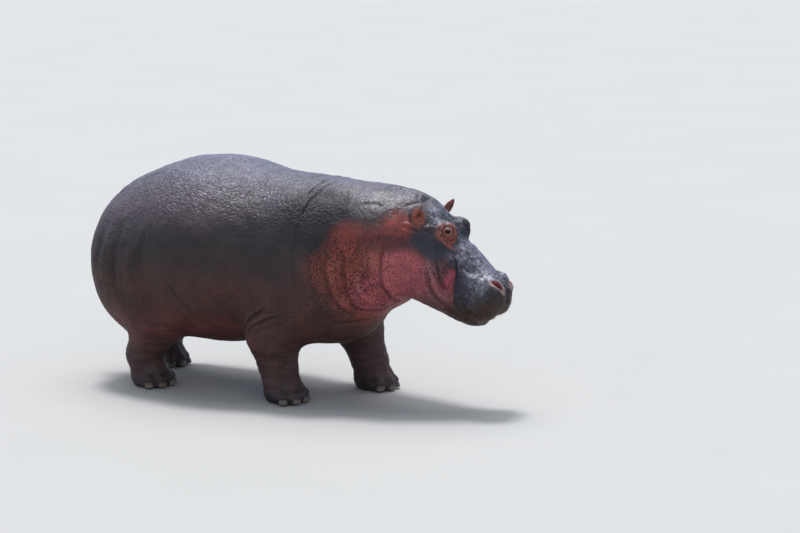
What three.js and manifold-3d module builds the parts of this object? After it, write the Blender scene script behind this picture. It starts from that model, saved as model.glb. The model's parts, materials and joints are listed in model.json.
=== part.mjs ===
// A hippopotamus that stands in mid-stride with its head held low, at life size.
// Millimetres. X runs forward, Y to the animal's left and Z up from the ground under its feet.
//
// The body is one field of soft masses, as a sculptor lays clay over an armature. The surface of
// that field is meshed, thinned out where it is smooth, and parted into the nodes by thin cuts.
import * as THREE from 'three';
import { mergeVertices } from 'three/addons/utils/BufferGeometryUtils.js';
import Module from 'manifold-3d';

const wasm = await Module();
wasm.setup();

// ---------------------------------------------------------------- driving dimensions

const BACK_HEIGHT = 1410; // ground to the top of the back
const BELLY_CLEARANCE = 262; // ground to the lowest point of the belly
const BARREL_HALF_WIDTH = 590;
const RUMP_BACK = -880; // rearmost point of the body, from the middle of the barrel

const HEAD_EYES = new THREE.Vector3(1565, 60, 1060); // point midway between the eyes
const HEAD_PITCH = 40; // degrees that the head's long axis dips below level
const HEAD_TURN = 6; // degrees that the head turns to the animal's left
const EYE_SPACING = 236;
const EYE_RADIUS = 25;

const GAP = 0.5; // clearance left between neighbouring nodes

// How finely each shape is first meshed, and how many triangles it keeps.
const BODY_MESH = { cell: 22, triangles: 3450, worth: ({ x }) => (x > HEAD_EYES.x - 250 ? 3 : 1) };
const EAR_MESH = { cell: 6, triangles: 250 };
const TAIL_MESH = { cell: 14, triangles: 140 };
const EVENNESS = 1e-8; // how strongly the triangles that are kept are held to one size

const SIDES = { left: 1, right: -1 };

// ---------------------------------------------------------------- soft masses

const radians = THREE.MathUtils.degToRad;
const vector = (x = 0, y = 0, z = 0) => new THREE.Vector3(x, y, z);

/** Placement matrix: a point, then a turn to the left about Z, a dip of the nose and a roll, in degrees. */
function placement(centre, { turn = 0, dip = 0, roll = 0 } = {}) {
  const angles = new THREE.Euler(radians(roll), radians(dip), radians(turn), 'ZYX');
  return new THREE.Matrix4().makeRotationFromEuler(angles).setPosition(centre);
}

/** An ellipsoid of flesh. Returns its distance function, negative inside. */
function ellipsoid(centre, radii, angles = {}) {
  const toLocal = placement(centre, angles).invert();
  const p = vector();
  return (point) => {
    p.copy(point).applyMatrix4(toLocal);
    const near = Math.hypot(p.x / radii[0], p.y / radii[1], p.z / radii[2]);
    const slope = Math.hypot(p.x / radii[0] ** 2, p.y / radii[1] ** 2, p.z / radii[2] ** 2);
    return slope < 1e-9 ? -Math.min(...radii) : (near * (near - 1)) / slope;
  };
}

/** A limb that tapers from radius r1 at point a to radius r2 at point b. */
function limb(a, b, r1, r2) {
  const axis = b.clone().sub(a);
  const length = axis.length();
  axis.divideScalar(length);
  const p = vector();
  return (point) => {
    p.copy(point).sub(a);
    const along = THREE.MathUtils.clamp(p.dot(axis) / length, 0, 1);
    const radius = THREE.MathUtils.lerp(r1, r2, along);
    return p.addScaledVector(axis, -along * length).length() - radius;
  };
}

/** Joins two distances into one smooth surface that fills the crease over the width k. */
function softUnion(a, b, k) {
  const h = Math.max(k - Math.abs(a - b), 0) / k;
  return Math.min(a, b) - (h * h * k) / 4;
}

/** A field made of [distance function, blend width] pairs. */
function fieldOf(masses) {
  return (point) => masses.reduce((d, [mass, k]) => softUnion(d, mass(point), k), 1e4);
}

/** The same mass on both sides of the middle plane. */
function pair(make) {
  return Object.values(SIDES).map((side) => make(side));
}

// ---------------------------------------------------------------- the animal's masses

function trunkMasses() {
  const depth = BACK_HEIGHT - BELLY_CLEARANCE;
  const middle = BELLY_CLEARANCE + depth / 2;
  return [
    [ellipsoid(vector(22, 0, middle), [760, BARREL_HALF_WIDTH, depth / 2 - 6], { dip: 0.5 }), 60],
    [ellipsoid(vector(RUMP_BACK + 412, 0, 805), [390, 440, 415]), 125],
    ...pair((s) => [ellipsoid(vector(-430, 240 * s, 690), [325, 265, 390]), 115]),
    ...pair((s) => [ellipsoid(vector(660, 250 * s, 810), [310, 260, 430]), 120]),
    [ellipsoid(vector(640, 0, 1078), [390, 300, 246]), 140],
    [ellipsoid(vector(780, 0, 600), [340, 330, 280]), 140],
  ];
}

function neckMasses() {
  return [
    [ellipsoid(vector(1060, 20, 965), [420, 370, 334]), 130],
    [ellipsoid(vector(1080, 25, 738), [235, 290, 188]), 70],
  ];
}

const HEAD = placement(HEAD_EYES, { turn: HEAD_TURN, dip: HEAD_PITCH });
const inHead = (u, v, w) => vector(u, v, w).applyMatrix4(HEAD);

/** A mass of the head, given along the head's own axes: forward, left and up from between the eyes. */
function headMass(u, v, w, radii, dip = 0, turn = 0) {
  return ellipsoid(inHead(u, v, w), radii, { turn: HEAD_TURN + turn, dip: HEAD_PITCH + dip });
}

function headMasses() {
  return [
    [headMass(-160, 0, -112, [200, 185, 136]), 110],
    ...pair((s) => [headMass(-6, 88 * s, -14, [72, 54, 68], -12), 30]),
    ...pair((s) => [headMass(-95, 118 * s, -48, [80, 36, 30], 4), 34]),
    [headMass(150, 0, -104, [270, 122, 92]), 45],
    [headMass(402, 0, -152, [126, 186, 108]), 60],
    ...pair((s) => [headMass(400, 80 * s, -68, [66, 46, 36], 6), 34]),
    ...pair((s) => [headMass(420, 112 * s, -192, [102, 86, 80], 8), 45]),
    ...pair((s) => [headMass(325, 122 * s, -165, [110, 50, 92], 6), 50]),
    [headMass(225, 0, -306, [275, 158, 110], -4), 65],
    [headMass(335, 0, -294, [100, 150, 58], 0), 45],
    ...pair((s) => [headMass(-12, 140 * s, -280, [165, 112, 165]), 60]),
    [headMass(60, 0, -330, [210, 190, 140], 0), 80],
  ];
}

// Where each leg's joints stand: [forward, out from the middle plane, up].
const LEGS = {
  front_left: { side: 1, top: [700, 300, 620], bend: [735, 320, 400], ankle: [835, 300, 190], foot: [865, 300] },
  front_right: { side: -1, top: [650, 300, 620], bend: [550, 330, 400], ankle: [575, 300, 190], foot: [600, 300] },
  hind_left: { side: 1, top: [-430, 290, 640], bend: [-480, 320, 430], ankle: [-665, 290, 190], foot: [-640, 285] },
  hind_right: { side: -1, top: [-370, 290, 640], bend: [-270, 330, 420], ankle: [-395, 300, 190], foot: [-360, 290] },
};

const legPoint = (leg, [x, out, z]) => vector(x, out * leg.side, z);

function legMasses(name) {
  const leg = LEGS[name];
  const [thick, knee, ankle] = name.startsWith('front') ? [195, 150, 108] : [210, 152, 104];
  return [
    [limb(legPoint(leg, leg.top), legPoint(leg, leg.bend), thick, knee), 110],
    [limb(legPoint(leg, leg.bend), legPoint(leg, leg.ankle), knee, ankle), 60],
  ];
}

const TOE_ANGLES = [-50, -17, 17, 50]; // degrees off the way the foot points
const TOE_REACH = 92; // ankle axis to the middle of a toe

function toePlaces(name) {
  const leg = LEGS[name];
  const heading = 8 * leg.side;
  return TOE_ANGLES.map((angle) => {
    const way = radians(heading + angle);
    return { turn: heading + angle, x: Math.cos(way), y: Math.sin(way) };
  });
}

function footMasses(name) {
  const leg = LEGS[name];
  const at = legPoint(leg, [...leg.foot, 0]);
  const ankle = legPoint(leg, leg.ankle);
  return [
    [limb(ankle, vector(at.x, at.y, 90), 98, 108), 50],
    [ellipsoid(vector(at.x + 8, at.y, 50), [122, 112, 75]), 45],
    ...toePlaces(name).map(({ turn, x, y }) => [
      ellipsoid(vector(at.x + TOE_REACH * x, at.y + TOE_REACH * y, 36), [62, 38, 46], { turn }),
      20,
    ]),
  ];
}

const LEG_NAMES = Object.keys(LEGS);
const STRIDE_MIDDLE = 100; // the forelegs stand ahead of this, the hind legs behind it
const fleshOfLegs = LEG_NAMES.flatMap((name) => [...legMasses(name), ...footMasses(name)]);
const flesh = fieldOf([...trunkMasses(), ...neckMasses(), ...headMasses(), ...fleshOfLegs]);

// Each ear's root on the head, and how it is turned out, tipped forward and rolled about its length.
const EARS = {
  left: { base: [-150, 165, -52], turn: -25, dip: 30, roll: -18 },
  right: { base: [-152, -158, -83], turn: -46, dip: 18, roll: 2 },
};

function earField(side) {
  const { base, turn, dip, roll } = EARS[side];
  const place = placement(inHead(...base), { turn: HEAD_TURN + turn, dip, roll });
  const at = (x, y, z) => vector(x, y, z).applyMatrix4(place);
  const angles = { turn: HEAD_TURN + turn, dip, roll };
  const shell = fieldOf([
    [limb(at(0, 0, -40), at(0, 0, 30), 30, 24), 10],
    [ellipsoid(at(0, 0, 62), [22, 42, 58], angles), 16],
    [limb(at(-4, 0, 80), at(4, 0, 120), 19, 10), 16],
  ]);
  const cup = ellipsoid(at(34, 5 * SIDES[side], 62), [32, 31, 44], angles);
  return (point) => -softUnion(-shell(point), cup(point), 7);
}

function tailField() {
  const root = vector(RUMP_BACK + 75, 0, 1000);
  const bend = vector(RUMP_BACK - 22, 0, 850);
  const middle = vector(RUMP_BACK - 34, 0, 700);
  const tip = vector(RUMP_BACK - 16, 0, 540);
  return fieldOf([
    [limb(root, bend, 62, 40), 10],
    [limb(bend, middle, 40, 27), 30],
    [limb(middle, tip, 27, 13), 20],
  ]);
}

// ---------------------------------------------------------------- meshing a field

const CORNERS = [0, 1, 2, 3, 4, 5, 6, 7].map((i) => [i & 1, (i >> 1) & 1, (i >> 2) & 1]);
const EDGES = [];
CORNERS.forEach((a, i) =>
  CORNERS.forEach((b, j) => {
    const steps = Math.abs(a[0] - b[0]) + Math.abs(a[1] - b[1]) + Math.abs(a[2] - b[2]);
    if (j > i && steps === 1) EDGES.push([i, j]);
  }),
);

/** Moves a point on to the surface of a field, along the field's slope. */
function settle(field, point) {
  const h = 0.5;
  const probe = vector();
  const slope = vector();
  for (let pass = 0; pass < 3; pass++) {
    const here = field(point);
    ['x', 'y', 'z'].forEach((axis) => {
      probe.copy(point)[axis] += h;
      slope[axis] = (field(probe) - here) / h;
    });
    const steep = Math.max(slope.lengthSq(), 0.25);
    point.addScaledVector(slope, -here / steep);
  }
}

/** The surface of a field inside a box, as a closed mesh of one vertex for each cell that it crosses. */
function surfaceOf(field, box, cell) {
  const size = box.getSize(vector());
  const count = size.toArray().map((s) => Math.ceil(s / cell) + 3);
  const [nx, ny, nz] = count;
  const start = box.min.clone().subScalar(cell);
  const middle = box.getCenter(vector());
  const half = size.clone().divideScalar(2);
  const walled = (p) => {
    const wall = Math.max(
      Math.abs(p.x - middle.x) - half.x,
      Math.abs(p.y - middle.y) - half.y,
      Math.abs(p.z - middle.z) - half.z,
    );
    return Math.max(field(p), wall);
  };
  const index = (i, j, k) => i + nx * (j + ny * k);
  const values = new Float64Array(nx * ny * nz);
  const p = vector();
  for (let k = 0; k < nz; k++)
    for (let j = 0; j < ny; j++)
      for (let i = 0; i < nx; i++) {
        p.set(i, j, k).multiplyScalar(cell).add(start);
        values[index(i, j, k)] = walled(p);
      }

  const vertices = [];
  const vertexOf = new Int32Array(nx * ny * nz).fill(-1);
  for (let k = 0; k < nz - 1; k++)
    for (let j = 0; j < ny - 1; j++)
      for (let i = 0; i < nx - 1; i++) {
        const value = CORNERS.map(([a, b, c]) => values[index(i + a, j + b, k + c)]);
        const sum = vector();
        let crossings = 0;
        for (const [a, b] of EDGES) {
          if (value[a] < 0 === value[b] < 0) continue;
          const t = value[a] / (value[a] - value[b]);
          sum.x += i + THREE.MathUtils.lerp(CORNERS[a][0], CORNERS[b][0], t);
          sum.y += j + THREE.MathUtils.lerp(CORNERS[a][1], CORNERS[b][1], t);
          sum.z += k + THREE.MathUtils.lerp(CORNERS[a][2], CORNERS[b][2], t);
          crossings++;
        }
        if (!crossings) continue;
        const at = sum.multiplyScalar(cell / crossings).add(start);
        const before = at.clone();
        settle(walled, at);
        at.sub(before).clampLength(0, cell / 3).add(before);
        vertexOf[index(i, j, k)] = vertices.length / 3;
        vertices.push(at.x, at.y, at.z);
      }

  const faces = [];
  const quad = (a, b, c, d, flip) => {
    const ring = (flip ? [d, c, b, a] : [a, b, c, d]).map((q) => vertexOf[q]);
    const corner = (n) => vector(...vertices.slice(3 * ring[n], 3 * ring[n] + 3));
    const short = corner(0).distanceTo(corner(2)) < corner(1).distanceTo(corner(3));
    const order = short ? [0, 1, 2, 0, 2, 3] : [1, 2, 3, 1, 3, 0];
    faces.push(...order.map((n) => ring[n]));
  };
  for (let k = 1; k < nz - 1; k++)
    for (let j = 1; j < ny - 1; j++)
      for (let i = 1; i < nx - 1; i++) {
        const inside = values[index(i, j, k)] < 0;
        if (inside !== values[index(i + 1, j, k)] < 0)
          quad(index(i, j - 1, k - 1), index(i, j, k - 1), index(i, j, k), index(i, j - 1, k), !inside);
        if (inside !== values[index(i, j + 1, k)] < 0)
          quad(index(i - 1, j, k - 1), index(i - 1, j, k), index(i, j, k), index(i, j, k - 1), !inside);
        if (inside !== values[index(i, j, k + 1)] < 0)
          quad(index(i - 1, j - 1, k), index(i, j - 1, k), index(i, j, k), index(i - 1, j, k), !inside);
      }
  return new THREE.BufferGeometry()
    .setAttribute('position', new THREE.Float32BufferAttribute(vertices, 3))
    .setIndex(faces);
}

/** The terms that give a point's squared distance from a plane, and a count of one plane. */
function planeTerms({ x, y, z }, d) {
  return [x * x, x * y, x * z, x * d, y * y, y * z, y * d, z * z, z * d, d * d, 1];
}

/** The mean squared distance of a point from the planes whose terms are summed in q. */
function meanError(q, { x, y, z }) {
  const along = q[0] * x * x + q[4] * y * y + q[7] * z * z;
  const across = q[1] * x * y + q[2] * x * z + q[5] * y * z + q[3] * x + q[6] * y + q[8] * z;
  return (along + 2 * across + q[9]) / q[10];
}

/**
 * Collapses the edges of a closed mesh that matter least to its shape, until it has few enough
 * triangles. worth(point) says how much more the shape matters there than elsewhere.
 */
function simplified(geometry, triangles, worth) {
  const place = geometry.attributes.position;
  const points = Array.from({ length: place.count }, (_, i) => vector().fromBufferAttribute(place, i));
  let faces = [];
  for (let i = 0; i < geometry.index.count; i += 3)
    faces.push([0, 1, 2].map((n) => geometry.index.getX(i + n)));
  const normalOf = (a, b, c) => b.clone().sub(a).cross(c.clone().sub(a));
  const quadrics = points.map(() => new Float64Array(11));
  for (const face of faces) {
    const [a, b, c] = face.map((i) => points[i]);
    const n = normalOf(a, b, c).normalize();
    const terms = planeTerms(n, -n.dot(a));
    for (const i of face) terms.forEach((term, t) => (quadrics[i][t] += term));
  }
  while (faces.length > triangles) {
    const around = points.map(() => []);
    faces.forEach((face, f) => face.forEach((i) => around[i].push(f)));
    const neighbours = around.map((list, i) => new Set(list.flatMap((f) => faces[f]).filter((j) => j !== i)));
    const edges = [];
    neighbours.forEach((others, i) => {
      for (const j of others) {
        if (j < i) continue;
        const sum = quadrics[i].map((term, t) => term + quadrics[j][t]);
        const at = points[i].clone().add(points[j]).multiplyScalar(0.5);
        const spread = points[i].distanceToSquared(points[j]);
        edges.push({ i, j, sum, at, cost: worth(at) * (meanError(sum, at) + EVENNESS * spread * spread) });
      }
    });
    edges.sort((a, b) => a.cost - b.cost);
    const moved = new Set();
    const gone = new Set();
    const cheap = edges.slice(0, Math.ceil(edges.length / 4));
    let done = 0;
    for (const { i, j, sum, at } of cheap) {
      if (faces.length - 2 * done <= triangles) break;
      const ring = new Set([...neighbours[i], ...neighbours[j]]);
      const shared = [...neighbours[i]].filter((n) => neighbours[j].has(n));
      if (shared.length !== 2 || [...ring].some((n) => moved.has(n))) continue;
      const turns = [...around[i], ...around[j]].some((f) => {
        const face = faces[f];
        if (face.includes(i) && face.includes(j)) return false;
        const before = normalOf(...face.map((n) => points[n])).normalize();
        const after = normalOf(...face.map((n) => (n === i || n === j ? at : points[n]))).normalize();
        return before.dot(after) < 0.6;
      });
      if (turns) continue;
      points[i] = at;
      quadrics[i] = sum;
      for (const f of around[j]) {
        if (faces[f].includes(i)) gone.add(f);
        else faces[f] = faces[f].map((n) => (n === j ? i : n));
      }
      ring.forEach((n) => moved.add(n));
      done++;
    }
    if (!done) break;
    faces = faces.filter((_, f) => !gone.has(f));
  }
  const used = [...new Set(faces.flat())];
  const renamed = new Map(used.map((i, n) => [i, n]));
  return new THREE.BufferGeometry()
    .setAttribute('position', new THREE.Float32BufferAttribute(used.flatMap((i) => points[i].toArray()), 3))
    .setIndex(faces.flat().map((i) => renamed.get(i)));
}

/** The surface of a field, meshed finely and then simplified. */
function fleshed(field, box, { cell, triangles, worth = () => 1 }) {
  return simplified(surfaceOf(field, box, cell), triangles, worth);
}

/** A mesh moved outward by a distance, to cut the socket that it sits in. */
function grown(geometry, by) {
  const wide = geometry.clone();
  wide.computeVertexNormals();
  const { position, normal } = wide.attributes;
  for (let i = 0; i < position.count; i++) {
    const out = vector().fromBufferAttribute(normal, i).multiplyScalar(by);
    position.setXYZ(i, ...vector().fromBufferAttribute(position, i).add(out).toArray());
  }
  return wide;
}

// ---------------------------------------------------------------- cutting and joining

/** A closed geometry as a solid. */
function solid(geometry, matrix = new THREE.Matrix4()) {
  const bare = geometry.clone().applyMatrix4(matrix);
  ['normal', 'uv'].forEach((name) => bare.deleteAttribute(name));
  const merged = mergeVertices(bare, 1e-3);
  return new wasm.Manifold(
    new wasm.Mesh({
      numProp: 3,
      vertProperties: new Float32Array(merged.attributes.position.array),
      triVerts: new Uint32Array(merged.index.array),
    }),
  );
}

/** A solid as a named mesh. */
function node(name, shape, material) {
  const { vertProperties, triVerts, numProp, numVert } = shape.getMesh();
  const positions = new Float32Array(numVert * 3);
  for (let i = 0; i < numVert; i++)
    positions.set(vertProperties.subarray(i * numProp, i * numProp + 3), i * 3);
  const geometry = new THREE.BufferGeometry()
    .setAttribute('position', new THREE.BufferAttribute(positions, 3))
    .setIndex(new THREE.BufferAttribute(triVerts, 1));
  geometry.computeVertexNormals();
  const mesh = new THREE.Mesh(geometry, material);
  mesh.name = name;
  return mesh;
}

const bounds = (x0, x1, y0, y1, z0, z1) => new THREE.Box3(vector(x0, y0, z0), vector(x1, y1, z1));

/** Everything ahead of a plane, which is upright but for a lean: positive leans its top forward. */
function ahead(point, lean, turn, reach = 4000) {
  const box = new THREE.BoxGeometry(reach, reach, reach);
  box.translate(reach / 2, 0, 0);
  return solid(box, placement(point, { turn, dip: lean }));
}

/** Everything below a level. */
function below(level, reach = 4000) {
  return solid(new THREE.BoxGeometry(reach, reach, reach).translate(0, 0, level - reach / 2));
}

/** What parts a leg from the body: a rounded sleeve from its socket, and its quarter under the belly. */
function sleeve(name, grow = 0) {
  const leg = LEGS[name];
  const front = name.startsWith('front') ? 1 : -1;
  const wide = (front > 0 ? 215 : 235) + grow;
  const socket = legPoint(leg, leg.bend).lerp(legPoint(leg, leg.top), 0.35);
  const ground = legPoint(leg, [...leg.foot, 0]);
  const capsule = new THREE.CapsuleGeometry(wide, socket.distanceTo(ground), 3, 12).rotateX(Math.PI / 2);
  const turn = new THREE.Quaternion().setFromUnitVectors(
    vector(0, 0, 1),
    socket.clone().sub(ground).normalize(),
  );
  const middle = socket.clone().add(ground).multiplyScalar(0.5);
  const reach = 1500;
  const level = BELLY_CLEARANCE - 30 + grow;
  const quarter = new THREE.BoxGeometry(reach, reach, level + reach).translate(
    STRIDE_MIDDLE + (front * reach) / 2,
    (leg.side * reach) / 2,
    (level - reach) / 2,
  );
  return solid(capsule, new THREE.Matrix4().compose(middle, turn, vector(1, 1, 1))).add(solid(quarter));
}

// ---------------------------------------------------------------- the nodes

const hide = new THREE.MeshStandardMaterial({ color: 0x4a4044, roughness: 0.5, metalness: 0 });
const blush = new THREE.MeshStandardMaterial({ color: 0x9c5f58, roughness: 0.5, metalness: 0 });
const eyeball = new THREE.MeshStandardMaterial({ color: 0x2a1710, roughness: 0.1, metalness: 0 });
const horn = new THREE.MeshStandardMaterial({ color: 0x3a302b, roughness: 0.4, metalness: 0 });

const SHOULDER_CUT = { point: vector(800, 0, 900), lean: -14, turn: 0 };
const NAPE_CUT = { point: vector(1330, 0, 960), lean: 26, turn: HEAD_TURN };
const FOOT_TOP = 135;

const aheadOfCut = ({ point, lean, turn }, shift) =>
  ahead(point.clone().add(vector(shift, 0, 0)), lean, turn);

function eyes() {
  return pair((side) => {
    const place = inHead(0, (EYE_SPACING / 2) * side, 0);
    const ball = (radius) => solid(new THREE.SphereGeometry(radius, 12, 7).translate(...place.toArray()));
    return { name: `eye_${side > 0 ? 'left' : 'right'}`, ball: ball(EYE_RADIUS), socket: ball(EYE_RADIUS + GAP) };
  });
}

/** The toenails of a foot, with the sockets that they sit in. */
function nails(name) {
  const leg = LEGS[name];
  const at = legPoint(leg, [...leg.foot, 0]);
  return toePlaces(name).map(({ turn, x, y }, i) => {
    const reach = TOE_REACH + 50;
    const place = placement(vector(at.x + reach * x, at.y + reach * y, 30), { turn, dip: 20 });
    const shape = (grow) =>
      solid(new THREE.SphereGeometry(1, 6, 4).scale(20 + grow, 27 + grow, 26 + grow), place);
    return { name: `nail_${name}_${i + 1}`, nail: shape(0), socket: shape(GAP) };
  });
}

function buildNodes() {
  const group = new THREE.Group();
  const add = (name, shape, material) => group.add(node(name, shape, material));
  const bodyBox = bounds(-1000, 2150, -760, 760, -80, 1500);
  const body = solid(fleshed(flesh, bodyBox, BODY_MESH)).subtract(below(0));

  let core = body;
  for (const name of LEG_NAMES) {
    core = core.subtract(sleeve(name, GAP));
    const limbShape = body.intersect(sleeve(name));
    add(`leg_${name}`, limbShape.subtract(below(FOOT_TOP + GAP)), hide);
    let foot = limbShape.intersect(below(FOOT_TOP));
    for (const { name: nailName, nail, socket } of nails(name)) {
      foot = foot.subtract(socket);
      add(nailName, nail.subtract(below(0)), horn);
    }
    add(`foot_${name}`, foot, hide);
  }

  let head = core.intersect(aheadOfCut(NAPE_CUT, GAP / 2));
  let neck = core.intersect(aheadOfCut(SHOULDER_CUT, GAP / 2)).subtract(aheadOfCut(NAPE_CUT, -GAP / 2));
  let trunk = core.subtract(aheadOfCut(SHOULDER_CUT, -GAP / 2));

  const tail = fleshed(tailField(), bounds(-1050, -700, -120, 120, 480, 1100), TAIL_MESH);
  trunk = trunk.subtract(solid(grown(tail, 2 * GAP)));
  add('tail', solid(tail), hide);

  for (const [side, { base }] of Object.entries(EARS)) {
    const root = inHead(...base);
    const earBox = new THREE.Box3(root.clone().subScalar(160), root.clone().addScalar(160));
    const ear = fleshed(earField(side), earBox, EAR_MESH);
    const socket = solid(grown(ear, 2 * GAP));
    head = head.subtract(socket);
    neck = neck.subtract(socket);
    add(`ear_${side}`, solid(ear), blush);
  }

  for (const { name, ball, socket } of eyes()) {
    head = head.subtract(socket);
    add(name, ball, eyeball);
  }
  add('head', head, hide);
  add('neck', neck, blush);
  add('trunk', trunk, hide);
  return group;
}

/** Moves the group so that the middle of its box stands on the origin. */
function centred(group) {
  const box = new THREE.Box3().setFromObject(group);
  const middle = box.getCenter(vector());
  group.position.set(-middle.x, -middle.y, -box.min.z);
  return group;
}

const hippopotamus = centred(buildNodes());

export default hippopotamus;
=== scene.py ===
"""A life-size standing hippopotamus: one skin, eyes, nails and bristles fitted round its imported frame."""

import json
import logging
import math
from dataclasses import dataclass, field
from enum import Enum

import bpy
import numpy as np
from mathutils import Matrix, Vector

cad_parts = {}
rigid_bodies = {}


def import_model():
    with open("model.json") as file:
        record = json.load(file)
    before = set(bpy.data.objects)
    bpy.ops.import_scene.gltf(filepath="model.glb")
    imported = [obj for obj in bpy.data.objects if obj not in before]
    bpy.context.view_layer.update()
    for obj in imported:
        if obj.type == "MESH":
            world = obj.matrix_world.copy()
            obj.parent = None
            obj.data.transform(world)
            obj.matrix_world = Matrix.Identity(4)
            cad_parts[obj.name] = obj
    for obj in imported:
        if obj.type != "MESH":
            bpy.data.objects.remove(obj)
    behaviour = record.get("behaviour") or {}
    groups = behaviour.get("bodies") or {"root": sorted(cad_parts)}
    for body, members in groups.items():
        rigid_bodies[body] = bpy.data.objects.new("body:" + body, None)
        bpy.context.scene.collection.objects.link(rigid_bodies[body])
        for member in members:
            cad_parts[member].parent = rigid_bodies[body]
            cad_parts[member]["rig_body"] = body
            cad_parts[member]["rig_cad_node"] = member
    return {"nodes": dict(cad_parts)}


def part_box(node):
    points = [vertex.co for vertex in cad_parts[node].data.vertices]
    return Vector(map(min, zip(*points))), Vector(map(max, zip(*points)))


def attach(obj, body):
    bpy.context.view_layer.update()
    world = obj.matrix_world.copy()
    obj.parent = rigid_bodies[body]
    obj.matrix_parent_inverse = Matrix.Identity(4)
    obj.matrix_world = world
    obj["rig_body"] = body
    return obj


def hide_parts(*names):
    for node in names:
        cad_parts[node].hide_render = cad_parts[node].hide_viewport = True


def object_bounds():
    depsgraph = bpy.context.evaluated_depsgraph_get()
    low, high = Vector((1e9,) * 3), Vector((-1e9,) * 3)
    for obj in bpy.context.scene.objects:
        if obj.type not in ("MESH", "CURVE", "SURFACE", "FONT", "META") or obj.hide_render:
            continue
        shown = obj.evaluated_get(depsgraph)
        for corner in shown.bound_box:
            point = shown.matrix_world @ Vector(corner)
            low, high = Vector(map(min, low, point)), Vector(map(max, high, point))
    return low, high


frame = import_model()
CAD_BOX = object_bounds()
LOG = logging.getLogger("hippopotamus")
Points = np.ndarray
Socket = bpy.types.NodeSocket
Colour = tuple[float, float, float, float]
Triple = tuple[float, float, float]
SIDES = ("left", "right")


# ---------------------------------------------------------------- working with pieces


def only(*pieces: bpy.types.Object) -> None:
    """Selects these pieces alone and makes the first one active."""
    bpy.ops.object.select_all(action="DESELECT")
    for piece in pieces:
        piece.select_set(True)
    bpy.context.view_layer.objects.active = pieces[0]


def finish_with(piece: bpy.types.Object, kind: str, **settings: object) -> None:
    """Adds one modifier and applies it at once.

    Args:
        piece: The object to change.
        kind: The modifier's type.
        settings: The modifier's own values.
    """
    only(piece)
    modifier = piece.modifiers.new(kind.title(), kind)
    for name, value in settings.items():
        setattr(modifier, name, value)
    bpy.ops.object.modifier_apply(modifier=modifier.name)


def points_of(piece: bpy.types.Object) -> Points:
    """Returns the piece's vertex positions as an N by 3 array."""
    flat = np.empty(len(piece.data.vertices) * 3, np.float32)
    piece.data.vertices.foreach_get("co", flat)
    return flat.reshape(-1, 3).astype(float)


def normals_of(piece: bpy.types.Object) -> Points:
    """Returns the piece's vertex normals as an N by 3 array."""
    flat = np.empty(len(piece.data.vertices) * 3, np.float32)
    piece.data.vertex_normals.foreach_get("vector", flat)
    return flat.reshape(-1, 3).astype(float)


def move_points(piece: bpy.types.Object, points: Points) -> None:
    """Puts the piece's vertices at these positions."""
    piece.data.vertices.foreach_set("co", points.astype(np.float32).ravel())
    piece.data.update()


def weigh(piece: bpy.types.Object, name: str, weights: Points, levels: int = 25) -> str:
    """Stores weights from 0 to 1 as a vertex group.

    Args:
        piece: The object to weigh.
        name: The group's name.
        weights: One weight for each vertex.
        levels: How many steps the weights are rounded to.

    Returns:
        The group's name.
    """
    group = piece.vertex_groups.new(name=name)
    steps = np.rint(np.clip(weights, 0, 1) * levels).astype(int)
    for step in range(1, levels + 1):
        members = np.flatnonzero(steps == step).tolist()
        if members:
            group.add(members, step / levels, "REPLACE")
    return group.name


# ---------------------------------------------------------------- shapes of change


def ease(value: Points, low: float, high: float) -> Points:
    """Rises smoothly from 0 at low to 1 at high."""
    part = np.clip((value - low) / (high - low), 0, 1)
    return part * part * (3 - 2 * part)


def bell(value: Points, width: float) -> Points:
    """Falls off smoothly from 1 at zero, over about this width."""
    return np.exp(-((value / width) ** 2))


def unit(vectors: Points) -> Points:
    """Scales each vector to a length of 1."""
    return vectors / np.maximum(np.linalg.norm(vectors, axis=-1, keepdims=True), 1e-12)


def lattice(cells: Points, seed: int) -> Points:
    """Gives each whole-number cell its own fixed value.

    Args:
        cells: The cells, as rows of three whole numbers.
        seed: Which set of values it is.

    Returns:
        One value from -1 to 1 for each cell.
    """
    mixed = cells.astype(np.int64) @ np.array((73856093, 19349663, 83492791)) + seed * 668265263
    mixed = ((mixed ^ (mixed >> 13)) * 1274126177) & 0x7FFFFFFF
    mixed = ((mixed ^ (mixed >> 15)) * 1911520717) & 0x7FFFFFFF
    return (mixed & 0xFFFF) / 32767.5 - 1


def ripple(points: Points, size: float, seed: int, stretch: Triple = (1, 1, 1)) -> Points:
    """Makes smooth noise from -1 to 1 over space.

    Args:
        points: Where the noise is wanted.
        size: How far apart its hills are.
        seed: Which noise it is.
        stretch: How much longer the hills are along each axis.

    Returns:
        One value for each point.
    """
    place = points / (size * np.array(stretch))
    cell = np.floor(place)
    part = place - cell
    part = part * part * part * (part * (part * 6 - 15) + 10)
    total = np.zeros(len(points))
    for corner in range(8):
        step = np.array((corner & 1, corner >> 1 & 1, corner >> 2 & 1))
        share = np.prod(np.where(step == 1, part, 1 - part), axis=1)
        total += share * lattice(cell + step, seed)
    return total


def creased(points: Points, size: float, seed: int, stretch: Triple = (1, 1, 1)) -> Points:
    """Makes thin valleys winding between soft swells: 0 in a valley, up to 1 on a swell."""
    return np.sqrt(np.abs(ripple(points, size, seed, stretch)))


def flow(path: Points, steps: int = 8) -> Points:
    """Draws a smooth line through the points of a path.

    Args:
        path: The few points that the line passes.
        steps: How many short lengths lie between two of them.

    Returns:
        The points along the smooth line.
    """
    padded = np.vstack((2 * path[0] - path[1], path, 2 * path[-1] - path[-2]))
    line = []
    for index in range(len(path) - 1):
        before, start, end, after = padded[index : index + 4]
        for t in np.arange(steps) / steps:
            line.append(
                0.5 * (2 * start + (end - before) * t
                       + (2 * before - 5 * start + 4 * end - after) * t ** 2
                       + (3 * start - before - 3 * end + after) * t ** 3)
            )
    return np.array(line + [path[-1]])


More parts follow.
